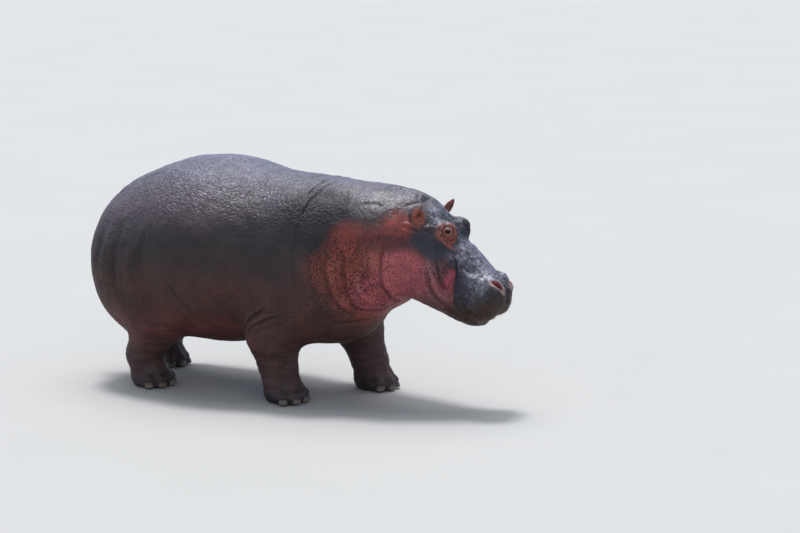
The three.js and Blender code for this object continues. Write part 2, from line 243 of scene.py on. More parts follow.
# ---------------------------------------------------------------- the head's own axes


class Head:
    """The head's own axes: u along the muzzle, v to the animal's left, w up through the brow."""

    def __init__(self, turn: float = 6.0, pitch: float = 40.0) -> None:
        """Sets the axes at the middle of the two eyes.

        Args:
            turn: Degrees that the head looks to its left.
            pitch: Degrees that the muzzle points down.
        """
        self.eyes = {side: centre_of(f"eye_{side}") for side in SIDES}
        self.origin = (self.eyes["left"] + self.eyes["right"]) / 2
        turned, pitched = math.radians(turn), math.radians(pitch)
        forward = np.array((
            math.cos(turned) * math.cos(pitched), math.sin(turned) * math.cos(pitched), -math.sin(pitched)
        ))
        left = np.array((-math.sin(turned), math.cos(turned), 0.0))
        self.axes = np.array((forward, left, np.cross(forward, left)))

    def local(self, points: Points) -> Points:
        """Turns row positions into the head's u, v, w."""
        return (points - self.origin) @ self.axes.T

    def place(self, points: Points) -> Points:
        """Turns the head's u, v, w into row positions."""
        return np.asarray(points, float) @ self.axes + self.origin

    def aim(self, direction: Points) -> Points:
        """Turns a direction in the head's axes into the row's."""
        return unit(np.asarray(direction, float) @ self.axes)


def corners_of(node: str) -> tuple[Points, Points]:
    """Returns a frame node's lowest and highest corners."""
    low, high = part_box(node)
    return np.array(low), np.array(high)


def outside(points: Points, node: str) -> Points:
    """Returns how far each point lies outside a frame node's box."""
    low, high = corners_of(node)
    return np.linalg.norm(np.maximum(np.maximum(low - points, points - high), 0), axis=1)


def centre_of(node: str) -> Points:
    """Returns the middle of a frame node's box."""
    low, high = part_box(node)
    return np.array((low + high) / 2)


HEAD = Head()


# ---------------------------------------------------------------- lines drawn on the skin


class Mark(Enum):
    """What a line does to the skin."""

    GROOVE = "a valley"
    RIDGE = "a raised roll"
    FOLD = "a crease with the skin on its far side bulging over it"


@dataclass(frozen=True)
class Stroke:
    """A line along which the skin rises or falls.

    Width is half the line's own width, and height is how far the skin moves. Shade is how much painted
    shade darkens the crease, and pale how much a painted highlight lightens its rise. A flipped fold
    bulges on its other side.
    """

    mark: Mark
    path: Points
    width: float
    height: float
    shade: float
    pale: float = 0.0
    flip: bool = False
    on_head: bool = True

    def lines(self) -> list[tuple[Points, bool]]:
        """Returns the smooth line on each side of the body, with whether it is the mirrored one."""
        placed = HEAD.place if self.on_head else np.asarray
        return [(flow(placed(self.path * np.array((1, side, 1)))), side < 0) for side in (1, -1)]

    def measure(self, points: Points, normals: Points) -> list[tuple[Points, Points, Points]]:
        """Finds the skin near the line.

        Args:
            points: The skin's points.
            normals: The skin's normals.

        Returns:
            For each side: which points are near, how far across the line they lie, and its strength there.
        """
        reach = 4 * self.width
        found = []
        for line, other in self.lines():
            low, high = line.min(0) - reach, line.max(0) + reach
            near = np.flatnonzero(np.all((points > low) & (points < high), axis=1))
            if not len(near):
                continue
            spot, facing = points[near], normals[near]
            best = np.full(len(near), np.inf)
            across = np.zeros(len(near))
            along = np.zeros(len(near))
            for index in range(len(line) - 1):
                start, run = line[index], line[index + 1] - line[index]
                part = np.clip((spot - start) @ run / (run @ run), 0, 1)
                gap = spot - start - part[:, None] * run
                lift = np.sum(gap * facing, axis=1)
                flat = gap - lift[:, None] * facing
                span = np.linalg.norm(flat, axis=1) + 0.15 * np.abs(lift)
                closer = (span < best) & (np.abs(lift) < 0.09)
                side = np.sign(np.sum(flat * np.cross(facing, run), axis=1))
                best = np.where(closer, span, best)
                across = np.where(closer, side * span, across)
                along = np.where(closer, (index + part) / (len(line) - 1), along)
            held = best < reach
            sign = -1 if other != self.flip else 1
            strength = ease(np.minimum(along, 1 - along), -0.02, 0.22)
            found.append((near[held], sign * across[held], strength[held]))
        return found

    def lift(self, across: Points) -> Points:
        """Works out how far the skin moves.

        Args:
            across: The distance across the line.

        Returns:
            The rise, below zero in a valley.
        """
        if self.mark is Mark.RIDGE:
            return self.height * bell(across, self.width)
        if self.mark is Mark.GROOVE:
            return -self.height * bell(across, self.width)
        roll = bell(across - 1.5 * self.width, 1.4 * self.width)
        return self.height * (0.6 * roll - 0.9 * bell(across, 0.40 * self.width))

    def painted_crease_shade(self, across: Points) -> Points:
        """Returns how much painted shade the crease gets at this distance across the line."""
        if self.mark is Mark.RIDGE:
            return np.zeros_like(across)
        return self.shade * bell(across, 0.5 * self.width)

    def painted_roll_highlight(self, across: Points) -> Points:
        """Returns how much painted highlight the raised skin gets at this distance across the line."""
        offset = 0.0 if self.mark is Mark.RIDGE else 0.9 * self.width
        return self.pale * bell(across - offset, 0.7 * self.width)


def strokes(on_head: bool, *rows: tuple) -> tuple[Stroke, ...]:
    """Reads lines whose lengths are given in millimetres.

    Args:
        on_head: Whether their paths lie in the head's own axes.
        rows: Each line's mark, path, width, height and painted shade, then painted highlight (pale) and flip
            where they matter.

    Returns:
        The lines.
    """
    return tuple(
        Stroke(mark, np.array(path) / 1000, width / 1000, height / 1000, *looks, on_head=on_head)
        for mark, path, width, height, *looks in rows
    )


G, R, F = Mark.GROOVE, Mark.RIDGE, Mark.FOLD

HEAD_LINES = strokes(
    True,
    # the muzzle's rear edge hanging over the pouch, and the lip from the mouth's corner to the front
    (F, ((92, -117, -80), (133, -120, -94), (180, -114, -130), (222, -92, -178), (255, -105, -212),
     (279, -140, -250)), 16, 12, 0.95),
    (F, ((262, -140, -240), (300, -155, -268), (350, -160, -284), (400, -135, -284), (445, -75, -264),
     (457, 0, -256), (450, 50, -262)), 13, 7, 0.5),
    # the roll of skin round the mouth's corner, the hollow inside it and the fold outside it
    (R, ((5, -224, -150), (78, -216, -206), (131, -197, -248), (188, -176, -286), (242, -163, -296),
     (272, -150, -268), (268, -128, -232)), 13, 16, 0, 1),
    (G, ((60, -180, -150), (133, -165, -204), (187, -153, -243), (238, -147, -262)), 14, 13, 0.75),
    (G, ((30, -226, -180), (110, -212, -262), (165, -190, -308), (225, -165, -334), (290, -150, -322)),
     12, 10, 0.6),
    (R, ((40, -226, -215), (105, -212, -285), (160, -190, -335), (225, -160, -358)), 14, 6, 0, 0.3),
    (R, ((150, -95, -140), (185, -103, -178), (218, -118, -214), (244, -132, -240)), 21, 9, 0, 0.2),
    # ridges and folds between the ear, the eye and the brow
    (R, ((-130, -192, -70), (-106, -179, -52), (-85, -158, -34), (-56, -144, -22)), 10, 8, 0, 0.9),
    (G, ((-120, -182, -85), (-85, -172, -72), (-55, -155, -66)), 11, 6, 0.5),
    (R, ((-215, -222, -128), (-190, -222, -100), (-164, -212, -84), (-136, -197, -70)), 10, 8, 0, 0.7),
    (G, ((-205, -222, -140), (-170, -218, -112), (-130, -200, -100), (-90, -185, -105)), 11, 7, 0.5),
    (R, ((-200, -226, -155), (-160, -222, -130), (-115, -205, -118)), 10, 5, 0, 0.4),
    (G, ((-150, -30, 0), (-95, -40, 20), (-34, -62, 30), (30, -70, 20), (75, -82, -10)), 20, 12, 0.6),
    (G, ((-170, -110, -10), (-120, -100, 10), (-85, -96, 22)), 11, 6, 0.4),
    (G, ((-190, -60, -20), (-140, -80, 4), (-100, -125, -10)), 10, 5, 0.4),
    # the long edges of the nose, the dip along its middle, and the cleft at its front
    (R, ((80, -84, -4), (140, -74, -30), (224, -74, -40), (305, -70, -44), (375, -76, -34)), 20, 6, 0,
     0.1),
    (R, ((55, -100, 2), (85, -90, -12), (125, -80, -28), (165, -78, -36)), 11, 4, 0, 0.9),
    (R, ((100, -112, -62), (135, -108, -66), (175, -108, -68)), 9, 3, 0, 0.8),
    (G, ((110, -110, -50), (170, -108, -78), (240, -112, -98), (310, -120, -90)), 22, 7, 0.25),
    (G, ((455, 0, -70), (500, 0, -110), (520, 0, -165), (500, 0, -220)), 18, 5, 0.3),
    # under the jaw
    (G, ((110, -120, -380), (190, -115, -385), (280, -110, -362)), 22, 8, 0.3),
)

BODY_LINES = strokes(
    False,
    # the shoulder's crease and its short twin
    (F, ((352, -40, 1305), (336, -192, 1265), (321, -324, 1192), (312, -395, 1115)), 16, 8, 0.8, 0.12,
     True),
    (F, ((318, -360, 1155), (306, -430, 1050), (304, -466, 950), (310, -483, 802), (326, -490, 660)),
     18, 4.5, 0.45, 0.05, True),
    (F, ((300, -30, 1310), (292, -170, 1280), (286, -290, 1225)), 15, 9, 0.9, 0.25, True),
    (G, ((262, -380, 1140), (255, -440, 1050), (260, -475, 950)), 16, 5, 0.4),
    # the cheek, the dewlap and the folds behind them
    (F, ((835, -265, 1010), (798, -292, 932), (771, -262, 816), (761, -214, 730), (769, -124, 652),
     (780, -40, 630)), 26, 13, 0.55, 0.2),
    (F, ((575, -360, 950), (562, -330, 840), (553, -290, 710), (575, -225, 600), (650, -140, 570),
     (738, -60, 600)), 30, 13, 0.5, 0.35),
    (F, ((469, -390, 920), (468, -370, 800), (483, -330, 670), (528, -254, 568), (600, -170, 530)), 26,
     9, 0.5, 0.2),
    (R, ((640, -310, 790), (640, -265, 700), (675, -200, 650), (720, -140, 645)), 22, 7, 0, 0.5),
    (G, ((395, -440, 930), (400, -430, 800), (420, -400, 680)), 26, 6, 0.25),
    # the armpit, the chest and the elbow
    (F, ((-75, -405, 415), (-46, -430, 466), (10, -462, 520), (78, -488, 561), (170, -500, 610)), 18,
     13, 0.95, 0.3),
    (F, ((-30, -450, 420), (40, -480, 480), (150, -498, 531), (270, -485, 572)), 16, 11, 0.9, 0.3),
    (G, ((20, -470, 415), (90, -490, 460), (180, -495, 490), (270, -470, 510)), 14, 6, 0.6),
    (G, ((440, -330, 500), (515, -234, 500), (576, -163, 504), (640, -50, 512)), 16, 8, 0.6),
    (G, ((420, -340, 545), (500, -255, 540), (580, -170, 540)), 14, 5, 0.4),
    # the thigh, the flank and the rump
    (F, ((-380, -440, 410), (-400, -500, 500), (-450, -545, 610), (-520, -560, 720)), 40, 10, 0.2, 0,
     True),
    (R, ((-740, -520, 980), (-783, -532, 867), (-809, -535, 715), (-799, -515, 540)), 45, 9, 0, 0.25),
    (G, ((-860, -430, 1050), (-915, -480, 900), (-930, -500, 740), (-900, -480, 600)), 40, 12, 0.55),
    (G, ((-680, -520, 1000), (-705, -548, 860), (-710, -552, 700)), 26, 5, 0.25),
    (G, ((-1000, -380, 1020), (-1060, -430, 880), (-1070, -440, 720)), 34, 8, 0.35),
    (G, ((-1150, -250, 1020), (-1200, -290, 880), (-1210, -300, 720)), 30, 6, 0.3),
    (G, ((-1350, -20, 800), (-1345, -18, 680), (-1290, -15, 560), (-1180, -10, 470)), 40, 18, 0.4),
    # the nape
    (F, ((700, -50, 1285), (780, 0, 1276), (860, -10, 1255), (915, -60, 1225)), 15, 9, 0.9, 0.5),
    (G, ((850, -150, 1200), (900, -90, 1213), (926, -13, 1226), (930, 60, 1226)), 13, 7, 0.7),
    (G, ((620, -230, 1200), (690, -200, 1205), (770, -190, 1190)), 14, 4, 0.3),
)


# ---------------------------------------------------------------- the eye's setting and the nostril


@dataclass
class EyeSetting:
    """Where one eye lies, which way it looks, and how the lids open round it."""

    side: str
    radius: float = 0.0235
    half_wide: float = math.radians(51)
    upper_lid: float = math.radians(31)
    lower_lid: float = math.radians(36)
    lid: float = 0.0034
    lid_edge: float = 0.0012
    behind_lid: float = 0.0035
    fold_rise: float = 0.0030
    crease_depth: float = 0.0032
    pucker_rise: float = 0.0026
    pucker_gap: float = 0.0095
    rim_rise: float = 0.0044
    rim_groove: float = 0.0055
    roundness: float = 1.6
    folds: tuple[float, ...] = (0.0415, 0.0560)
    creases: tuple[float, ...] = (0.0350, 0.0488)
    disc: float = 0.066

    def __post_init__(self) -> None:
        """Finds the eye's centre and axes in the row frame."""
        away = 1.0 if self.side == "left" else -1.0
        self.centre = HEAD.eyes[self.side]
        self.gaze = HEAD.aim((0.22, 0.93 * away, 0.27))
        toward = HEAD.aim((0.79, 0.0, 0.61))
        self.ahead = unit(toward - (toward @ self.gaze) * self.gaze)
        self.up = np.cross(self.gaze, self.ahead) * away * -1.0
        if self.up @ HEAD.axes[2] < 0:
            self.up = -self.up

    def polar(self, points: Points) -> tuple[Points, Points, Points, Points]:
        """Places points round the eye's gaze.

        Args:
            points: The skin's points.

        Returns:
            Each point's distance, angle off the gaze, turn round it, and distance from its axis.
        """
        out = points - self.centre
        far = np.linalg.norm(out, axis=1)
        along = out @ self.gaze
        x, y = out @ self.ahead, out @ self.up
        off = np.arccos(np.clip(along / np.maximum(far, 1e-9), -1, 1))
        return far, off, np.arctan2(y, x), np.hypot(x, y)

    def rim(self, turn: Points) -> Points:
        """Returns the lids' opening angle at each turn round the gaze, drawn out at both corners."""
        high = np.where(np.sin(turn) > 0, self.upper_lid, self.lower_lid)
        across, upright = np.abs(np.cos(turn) / self.half_wide), np.abs(np.sin(turn) / high)
        return (across ** self.roundness + upright ** self.roundness) ** (-1 / self.roundness)

    def brow(self, turn: Points) -> Points:
        """Returns how far a turn round the gaze points up to the brow."""
        return ease(np.sin(turn + 0.1), -0.4, 0.5)

    def rear(self, turn: Points) -> Points:
        """Returns how far a turn round the gaze points to the rear, where the bare disc fades out."""
        return ease(-np.cos(turn), 0.1, 0.9)

    def spread(self, turn: Points, wide: Points) -> Points:
        """Returns the distance from the eye, shortened where the bare skin is drawn out below."""
        tail = np.maximum(np.cos(turn + 1.11), 0) ** 4
        return wide * (1 - 0.40 * tail)

    def set_lids(self, points: Points) -> Points:
        """Wraps the skin over the eyeball, leaving the opening.

        Args:
            points: The skin's points.

        Returns:
            The moved points.
        """
        far, off, turn, _ = self.polar(points)
        near = (far < 0.085) & (off < 1.75)
        edge = off - self.rim(turn)
        over = self.radius + self.lid * ease(edge, 0.0, 0.10) + self.lid_edge * bell(edge - 0.20, 0.14)
        target = np.where(edge < 0, self.radius - self.behind_lid, over)
        hold = 1 - ease(edge, 0.28, 0.85)
        moved = self.centre + unit(points - self.centre) * (far + (target - far) * hold)[:, None]
        return np.where(near[:, None], moved, points)

    def set_rings(self, points: Points) -> Points:
        """Raises the rings of folded skin round the lids.

        Args:
            points: The skin's points.

        Returns:
            How far each point rises along its normal.
        """
        far, off, turn, wide = self.polar(points)
        near = (far < 0.13) & (off < 1.6)
        place = self.place_of(points, turn, wide)
        uneven = 0.75 + 0.45 * ripple(points, 0.024, 35)
        upper = 0.15 + 0.85 * self.brow(turn)
        rise = np.zeros(len(points))
        for fold, crease in zip(self.folds, self.creases):
            rise += self.fold_rise * upper * uneven * bell(place - fold, 0.0052)
            rise -= self.crease_depth * upper * uneven * bell(place - crease, 0.0022)
        rise += self.pucker_rise * self.puckers(points, place) * (1.25 - upper)
        rim = self.rim_rise * bell(place - self.disc, 0.0080)
        rim -= self.rim_groove * bell(place - self.disc - 0.0120, 0.0065)
        rise += rim * (1 - 0.85 * self.rear(turn))
        rise *= ease(off - self.rim(turn), 0.16, 0.42)
        return np.where(near, rise, 0)

    def puckers(self, points: Points, place: Points) -> Points:
        """Draws the bag's broken slanting wrinkles.

        Args:
            points: The skin's points.
            place: How far out among the rings each lies.

        Returns:
            Values from about -1 in a wrinkle to 1 beside it.
        """
        out = points - self.centre
        slant = 0.60 * (out @ self.ahead + out @ self.up) - 0.45 * place
        drift = 1.7 * ripple(points, 0.022, 36) + 0.9 * ripple(points, 0.009, 37)
        bands = np.sin(slant * 2 * math.pi / self.pucker_gap + 1.9 * drift)
        broken = ease(ripple(points, 0.017, 38), -0.45, 0.25)
        return bands * broken * ease(place, 0.032, 0.038) * (1 - ease(place, 0.060, 0.068))

    def place_of(self, points: Points, turn: Points, wide: Points) -> Points:
        """Returns how far out among the rings each point lies, with the rings' unevenness."""
        wobble = 0.0040 * ripple(points, 0.030, 31) + 0.0016 * ripple(points, 0.011, 32)
        return self.spread(turn, wide) + wobble


@dataclass
class Nostril:
    """One nostril: a slit on top of the muzzle's end, inside a raised rim."""

    side: str
    place: Triple = (0.424, -0.092, -0.036)
    half_long: float = 0.040
    half_wide: float = 0.0215
    depth: float = 0.026
    rim: float = 0.0085
    swell: float = 0.004
    bow: float = 0.010

    def __post_init__(self) -> None:
        """Finds the slit's middle and axes in the row frame."""
        mirror = np.array((1, -1 if self.side == "left" else 1, 1))
        self.centre = HEAD.place(np.array(self.place) * mirror)
        self.out = HEAD.aim(np.array((0.10, -0.42, 0.90)) * mirror)
        along = HEAD.aim(np.array((0.80, 0.58, -0.10)) * mirror)
        self.along = unit(along - (along @ self.out) * self.out)
        self.across = np.cross(self.out, self.along)

    def ovalness(self, points: Points) -> tuple[Points, Points]:
        """Places points round the slit.

        Args:
            points: The skin's points.

        Returns:
            How far out each point lies, 1 at the edge, and which points are near.
        """
        out = points - self.centre
        x, y = out @ self.along, out @ self.across
        bowed = y - self.bow * (1 - (x / self.half_long) ** 2) * 0.6
        oval = np.hypot(x / self.half_long, bowed / self.half_wide)
        near = (np.abs(out @ self.out) < 0.05) & (np.linalg.norm(out, axis=1) < 0.10)
        return oval, near

    def open(self, points: Points) -> Points:
        """Sinks the slit and raises its rim.

        Args:
            points: The skin's points.

        Returns:
            The moved points.
        """
        oval, near = self.ovalness(points)
        sink = self.depth * (1 - ease(oval, 0.45, 1.05))
        swell = self.rim * bell(oval - 1.45, 0.55) + self.swell * bell(oval - 2.2, 0.9)
        shift = np.where(near, swell - sink, 0)
        return points + shift[:, None] * self.out


EYES = tuple(EyeSetting(side) for side in SIDES)
NOSTRILS = tuple(Nostril(side) for side in SIDES)


# ---------------------------------------------------------------- the skin


@dataclass
class Skin:
    """One unbroken skin over all the flesh, folded and wrinkled, with its markings stored on it."""

    voxel: float = 0.006
    overlap: float = 0.001
    weld: float = 0.00005
    broad_passes: int = 150
    fine_passes: int = 34
    toe_rise: float = 0.016
    toe_width: float = 0.030
    ear_narrowing: float = 0.16
    ear_taper: float = 0.16
    ear_shortening: float = 0.10
    most_triangles: int = 197000
    head_triangles: int = 104000
    flesh: tuple[str, ...] = field(default_factory=lambda: tuple(
        name for name in sorted(frame["nodes"]) if not name.startswith(("eye_", "nail_"))
    ))

    def build(self) -> bpy.types.Object:
        """Makes the skin from the frame's own solids.

        Returns:
            The finished skin.
        """
        piece = self.join_flesh()
        self.even_out(piece)
        self.refine(piece)
        self.sculpt(piece)
        self.thin_out(piece)
        self.stand(piece)
        only(piece)
        bpy.ops.object.shade_smooth()
        Markings(piece).paint()
        piece.data.materials.clear()
        piece.data.materials.append(HideFinish().material())
        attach(piece, "root")
        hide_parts(*self.flesh)
        return piece

    def join_flesh(self) -> bpy.types.Object:
        """Joins swollen copies of the flesh into one even mesh, closing the seams between them.

        Returns:
            The joined skin.
        """
        eyes = tuple(f"eye_{setting.side}" for setting in EYES)
        only(*(frame["nodes"][name] for name in self.flesh + eyes))
        bpy.ops.object.duplicate()
        copies = list(bpy.context.selected_objects)
        for copy in copies:
            copy.parent = None
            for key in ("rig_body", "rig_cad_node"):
                del copy[key]
        only(*copies)
        bpy.ops.object.join()
        piece = bpy.context.view_layer.objects.active
        piece.name = piece.data.name = "skin"
        bpy.ops.object.mode_set(mode="EDIT")
        bpy.ops.mesh.select_all(action="SELECT")
        bpy.ops.mesh.remove_doubles(threshold=self.weld)
        bpy.ops.transform.shrink_fatten(value=self.overlap)
        bpy.ops.object.mode_set(mode="OBJECT")
        finish_with(piece, "REMESH", mode="VOXEL", voxel_size=self.voxel, use_smooth_shade=True)
        return piece

    def zones(self, points: Points) -> dict[str, Points]:
        """Divides the skin among the body's parts.

        Args:
            points: The skin's points.

        Returns:
            How far each point belongs to the head, an ear, a foot and the tail, from 0 to 1.
        """
        local = HEAD.local(points)
        head = ease(local[:, 0] - 0.35 * local[:, 2], -0.20, -0.04)
        head = head * (points[:, 2] > 0.5) * (points[:, 0] > 0.72)
        ear = np.zeros(len(points))
        for side in SIDES:
            ear = np.maximum(ear, 1 - ease(outside(points, f"ear_{side}"), 0.0, 0.03))
        return {
            "head": head,
            "ear": ear,
            "foot": 1 - ease(points[:, 2], 0.14, 0.30),
            "tail": 1 - ease(outside(points, "tail"), 0.0, 0.04),
        }

    def relax(self, piece: bpy.types.Object, weights: Points, times: int) -> None:
        """Smooths the skin without letting its bulk shrink.

        Args:
            piece: The skin.
            weights: How strongly each point is smoothed.
            times: How many passes are made.
        """
        rest = points_of(piece)
        group = weigh(piece, "relax", weights)
        settings = {"factor": 0.5, "iterations": times, "vertex_group": group}
        finish_with(piece, "SMOOTH", **settings)
        once = points_of(piece)
        move_points(piece, rest - once)
        finish_with(piece, "SMOOTH", **settings)
        move_points(piece, once + points_of(piece))
        piece.vertex_groups.clear()

    def even_out(self, piece: bpy.types.Object) -> None:
        """Rounds away the flat facets, broadly on the body and lightly on the head, feet and ears.

        Args:
            piece: The skin.
        """
        zone = self.zones(points_of(piece))
        fine = np.maximum.reduce((zone["head"], zone["ear"], zone["foot"], zone["tail"]))
        self.relax(piece, 1 - fine, self.broad_passes)
        tender = np.maximum(zone["ear"], 0.7 * zone["tail"])
        self.relax(piece, np.maximum(0.15, 1 - 0.85 * tender), self.fine_passes)

    def refine(self, piece: bpy.types.Object) -> None:
        """Divides the mesh more finely round the eyes, the nostrils and the mouth's corners.

        Args:
            piece: The skin.
        """
        corner = HEAD.place(np.array(((0.20, -0.14, -0.22), (0.20, 0.14, -0.22))))
        first = [(setting.centre, 0.098) for setting in EYES] + [(slit.centre, 0.075) for slit in NOSTRILS]
        first += [(spot, 0.105) for spot in corner]
        second = [(setting.centre + 0.02 * setting.gaze, 0.062) for setting in EYES]
        second += [(slit.centre, 0.045) for slit in NOSTRILS]
        for places in (first, second):
            self.divide_near(piece, places)

    def divide_near(self, piece: bpy.types.Object, places: list[tuple[Points, float]]) -> None:
        """Splits the faces that lie within a distance of certain places.

        Args:
            piece: The skin.
            places: Each place with its distance.
        """
        mesh = piece.data
        middles = np.empty(len(mesh.polygons) * 3, np.float32)
        mesh.polygons.foreach_get("center", middles)
        middles = middles.reshape(-1, 3)
        chosen = np.zeros(len(middles), bool)
        for place, distance in places:
            chosen |= np.linalg.norm(middles - place, axis=1) < distance
        only(piece)
        bpy.context.tool_settings.mesh_select_mode = (False, False, True)
        mesh.vertices.foreach_set("select", np.zeros(len(mesh.vertices), bool))
        mesh.edges.foreach_set("select", np.zeros(len(mesh.edges), bool))
        mesh.polygons.foreach_set("select", chosen)
        bpy.ops.object.mode_set(mode="EDIT")
        bpy.ops.mesh.subdivide(number_cuts=1, smoothness=0)
        bpy.ops.object.mode_set(mode="OBJECT")
        near = np.zeros(len(mesh.vertices), bool)
        points = points_of(piece)
        for place, distance in places:
            near |= np.linalg.norm(points - place, axis=1) < distance
        self.relax(piece, near.astype(float), 6)

    def sculpt(self, piece: bpy.types.Object) -> None:
        """Works the folds, lids, nostrils and wrinkles into the skin.

        Args:
            piece: The skin.
        """
        for lines in (BODY_LINES, HEAD_LINES):
            self.draw(piece, lines)
        self.relax(piece, np.full(len(piece.data.vertices), 0.8), 2)
        points = points_of(piece)
        points = points + self.swell_toes(points)[:, None] * normals_of(piece)
        points = self.slim_ears(points)
        for slit in NOSTRILS:
            points = slit.open(points)
        for setting in EYES:
            move_points(piece, points)
            rise = setting.set_rings(points)
            points = setting.set_lids(points + rise[:, None] * normals_of(piece))
        move_points(piece, points)
        normals = normals_of(piece)
        points = points + self.weather(points)[:, None] * normals
        move_points(piece, points)
        self.stand(piece)

    def stand(self, piece: bpy.types.Object) -> None:
        """Lifts any point of the skin that has sunk below the floor."""
        points = points_of(piece)
        points[:, 2] = np.maximum(points[:, 2], 0.0)
        move_points(piece, points)

    def slim_ears(self, points: Points) -> Points:
        """Draws each ear in round its own axis, most towards its tip.

        Args:
            points: The skin's points.

        Returns:
            The moved points.
        """
        for side in SIDES:
            low, high = corners_of(f"ear_{side}")
            solid = points_of(frame["nodes"][f"ear_{side}"])
            level = (solid[:, 2] - low[2]) / (high[2] - low[2])
            foot, tip = solid[level < 0.25].mean(axis=0), solid[level > 0.85].mean(axis=0)
            reach = np.linalg.norm(tip - foot)
            axis = (tip - foot) / reach
            along = (points - foot) @ axis
            across = points - foot - along[:, None] * axis
            near = 1 - ease(np.linalg.norm(across, axis=1), 0.050, 0.068)
            near = near * ease(along, -0.010, 0.35 * reach)
            tight = near * (self.ear_narrowing + self.ear_taper * ease(along, 0.35 * reach, reach))
            short = self.ear_shortening * np.maximum(along, 0) * near
            points = points - across * tight[:, None] - axis * short[:, None]
        return points

    def swell_toes(self, points: Points) -> Points:
        """Bulges the toe round each nail.

        Args:
            points: The skin's points.

        Returns:
            How far each point rises.
        """
        rise = np.zeros(len(points))
        low = points[:, 2] < 0.16
        for node in (name for name in frame["nodes"] if name.startswith("nail_")):
            foot, place = centre_of("foot_" + "_".join(node.split("_")[1:3])), centre_of(node)
            out = unit((place - foot) * np.array((1, 1, 0)))
            gap = points - place + 0.012 * out - (0, 0, 0.014)
            wide = np.hypot(gap @ np.cross(out, (0, 0, 1)), 0.75 * gap[:, 2])
            front = ease(gap @ out, -0.045, 0.0)
            rise = np.maximum(rise, self.toe_rise * bell(wide, self.toe_width) * front * low)
        return rise

    def draw(self, piece: bpy.types.Object, lines: tuple[Stroke, ...]) -> None:
        """Raises or sinks the skin along some lines.

        Args:
            piece: The skin.
            lines: The lines to draw.
        """
        points, normals = points_of(piece), normals_of(piece)
        rise = np.zeros(len(points))
        for line in lines:
            for near, across, strength in line.measure(points, normals):
                waver = 1 + 0.25 * ripple(points[near], 2.5 * line.width + 0.02, 5)
                rise[near] += line.lift(across) * strength * waver
        move_points(piece, points + rise[:, None] * normals)

    def weather(self, points: Points) -> Points:
        """Works out the small wrinkles.

        Args:
            points: The skin's points.

        Returns:
            How far each point rises.
        """
        zone = self.zones(points)
        x, _, z = points.T
        body = (1 - zone["head"]) * (1 - zone["ear"]) * (1 - zone["tail"])
        upper = ease(z, 0.85, 1.15) * body
        neck = ease(x, 0.33, 0.45) * body * ease(z, 0.45, 0.6)
        rear = ease(-x, 0.55, 0.80) * body * ease(z, 0.45, 0.6)
        limb = 1 - ease(z, 0.36, 0.52)
        rise = 0.0014 * ripple(points, 0.060, 11, (1.0, 1.0, 1.8)) * body
        rise += 0.0026 * (creased(points, 0.042, 12, (1.3, 1.0, 1.0)) - 0.6) * upper
        rise += 0.0036 * ripple(points, 0.085, 13, (0.55, 1.0, 2.6)) * neck
        rise += 0.0028 * ripple(points, 0.090, 14, (0.7, 1.0, 2.0)) * rear
        rise += 0.0030 * (creased(points, 0.060, 19, (1.0, 1.0, 1.4)) - 0.6) * rear
        rise += 0.0052 * (creased(points, 0.046, 15, (2.6, 2.6, 0.6)) - 0.6) * limb
        face = zone["head"] * (1 - zone["ear"])
        for setting in EYES:
            wide = setting.polar(points)[0]
            face = face * ease(wide, 0.055, 0.10)
        rise += 0.0013 * (creased(points, 0.024, 16) - 0.6) * face
        rise += 0.0016 * ripple(points, 0.045, 17) * face
        pads = ease(HEAD.local(points)[:, 0], 0.27, 0.36) * face
        rise += (0.0022 * (creased(points, 0.030, 20) - 0.6) + 0.0012 * ripple(points, 0.016, 21)) * pads
        rise += 0.0008 * ripple(points, 0.016, 18) * zone["ear"]
        return rise

    def thin_out(self, piece: bpy.types.Object) -> None:
        """Thins the mesh, most on the broad body, and leaves the eyes and nostrils whole.

        Args:
            piece: The skin.
        """
        for limit, on_head in ((self.head_triangles, True), (self.most_triangles, False)):
            points = points_of(piece)
            zone = self.zones(points)
            head = np.maximum(zone["head"] > 0.5, zone["ear"] > 0.5)
            whole = np.zeros(len(points), bool)
            kept = [(eye.centre, 0.062) for eye in EYES] + [(slit.centre, 0.05) for slit in NOSTRILS]
            for place, reach in kept:
                whole |= np.linalg.norm(points - place, axis=1) < reach
            area = head & ~whole if on_head else ~head
            count, inside = self.count_triangles(piece, head)
            wanted = count - inside + limit if on_head else limit
            if count > wanted:
                group = weigh(piece, "thinned", area.astype(float), 1)
                finish_with(piece, "DECIMATE", ratio=wanted / count, vertex_group=group,
                            use_collapse_triangulate=True)
                piece.vertex_groups.clear()
            LOG.info("skin: %d triangles before thinning, %d of them on the head", count, inside)

    def count_triangles(self, piece: bpy.types.Object, area: Points) -> tuple[int, int]:
        """Counts the skin's triangles.

        Args:
            piece: The skin.
            area: Which of its points lie in an area.

        Returns:
            How many triangles it has, and how many of them lie in the area.
        """
        piece.data.calc_loop_triangles()
        corners = np.empty(len(piece.data.loop_triangles) * 3, np.int32)
        piece.data.loop_triangles.foreach_get("vertices", corners)
        return len(corners) // 3, int(np.sum(area[corners[::3]]))


# ---------------------------------------------------------------- colours on the skin


def colour(code: str) -> Points:
    """Turns a six-digit colour code into linear red, green and blue."""
    value = np.array([int(code[index : index + 2], 16) / 255 for index in (0, 2, 4)])
    return np.where(value <= 0.04045, value / 12.92, ((value + 0.055) / 1.055) ** 2.4)


def blob(points: Points, middle: Triple | Points, radii: Triple | Points, soft: float) -> Points:
    """Returns a soft-edged ellipsoid of influence: 1 inside, fading to 0 across its edge."""
    far = np.linalg.norm((points - np.array(middle)) / np.array(radii), axis=1)
    return 1 - ease(far, 1 - soft, 1 + soft)


def wash(tone: Points, *layers: tuple[str, Points]) -> Points:
    """Blends colours over a tone, one after another, each by its amount for each point."""
    for shade, amount in layers:
        tone = tone + (colour(shade) - tone) * np.clip(amount, 0, 1)[:, None]
    return tone


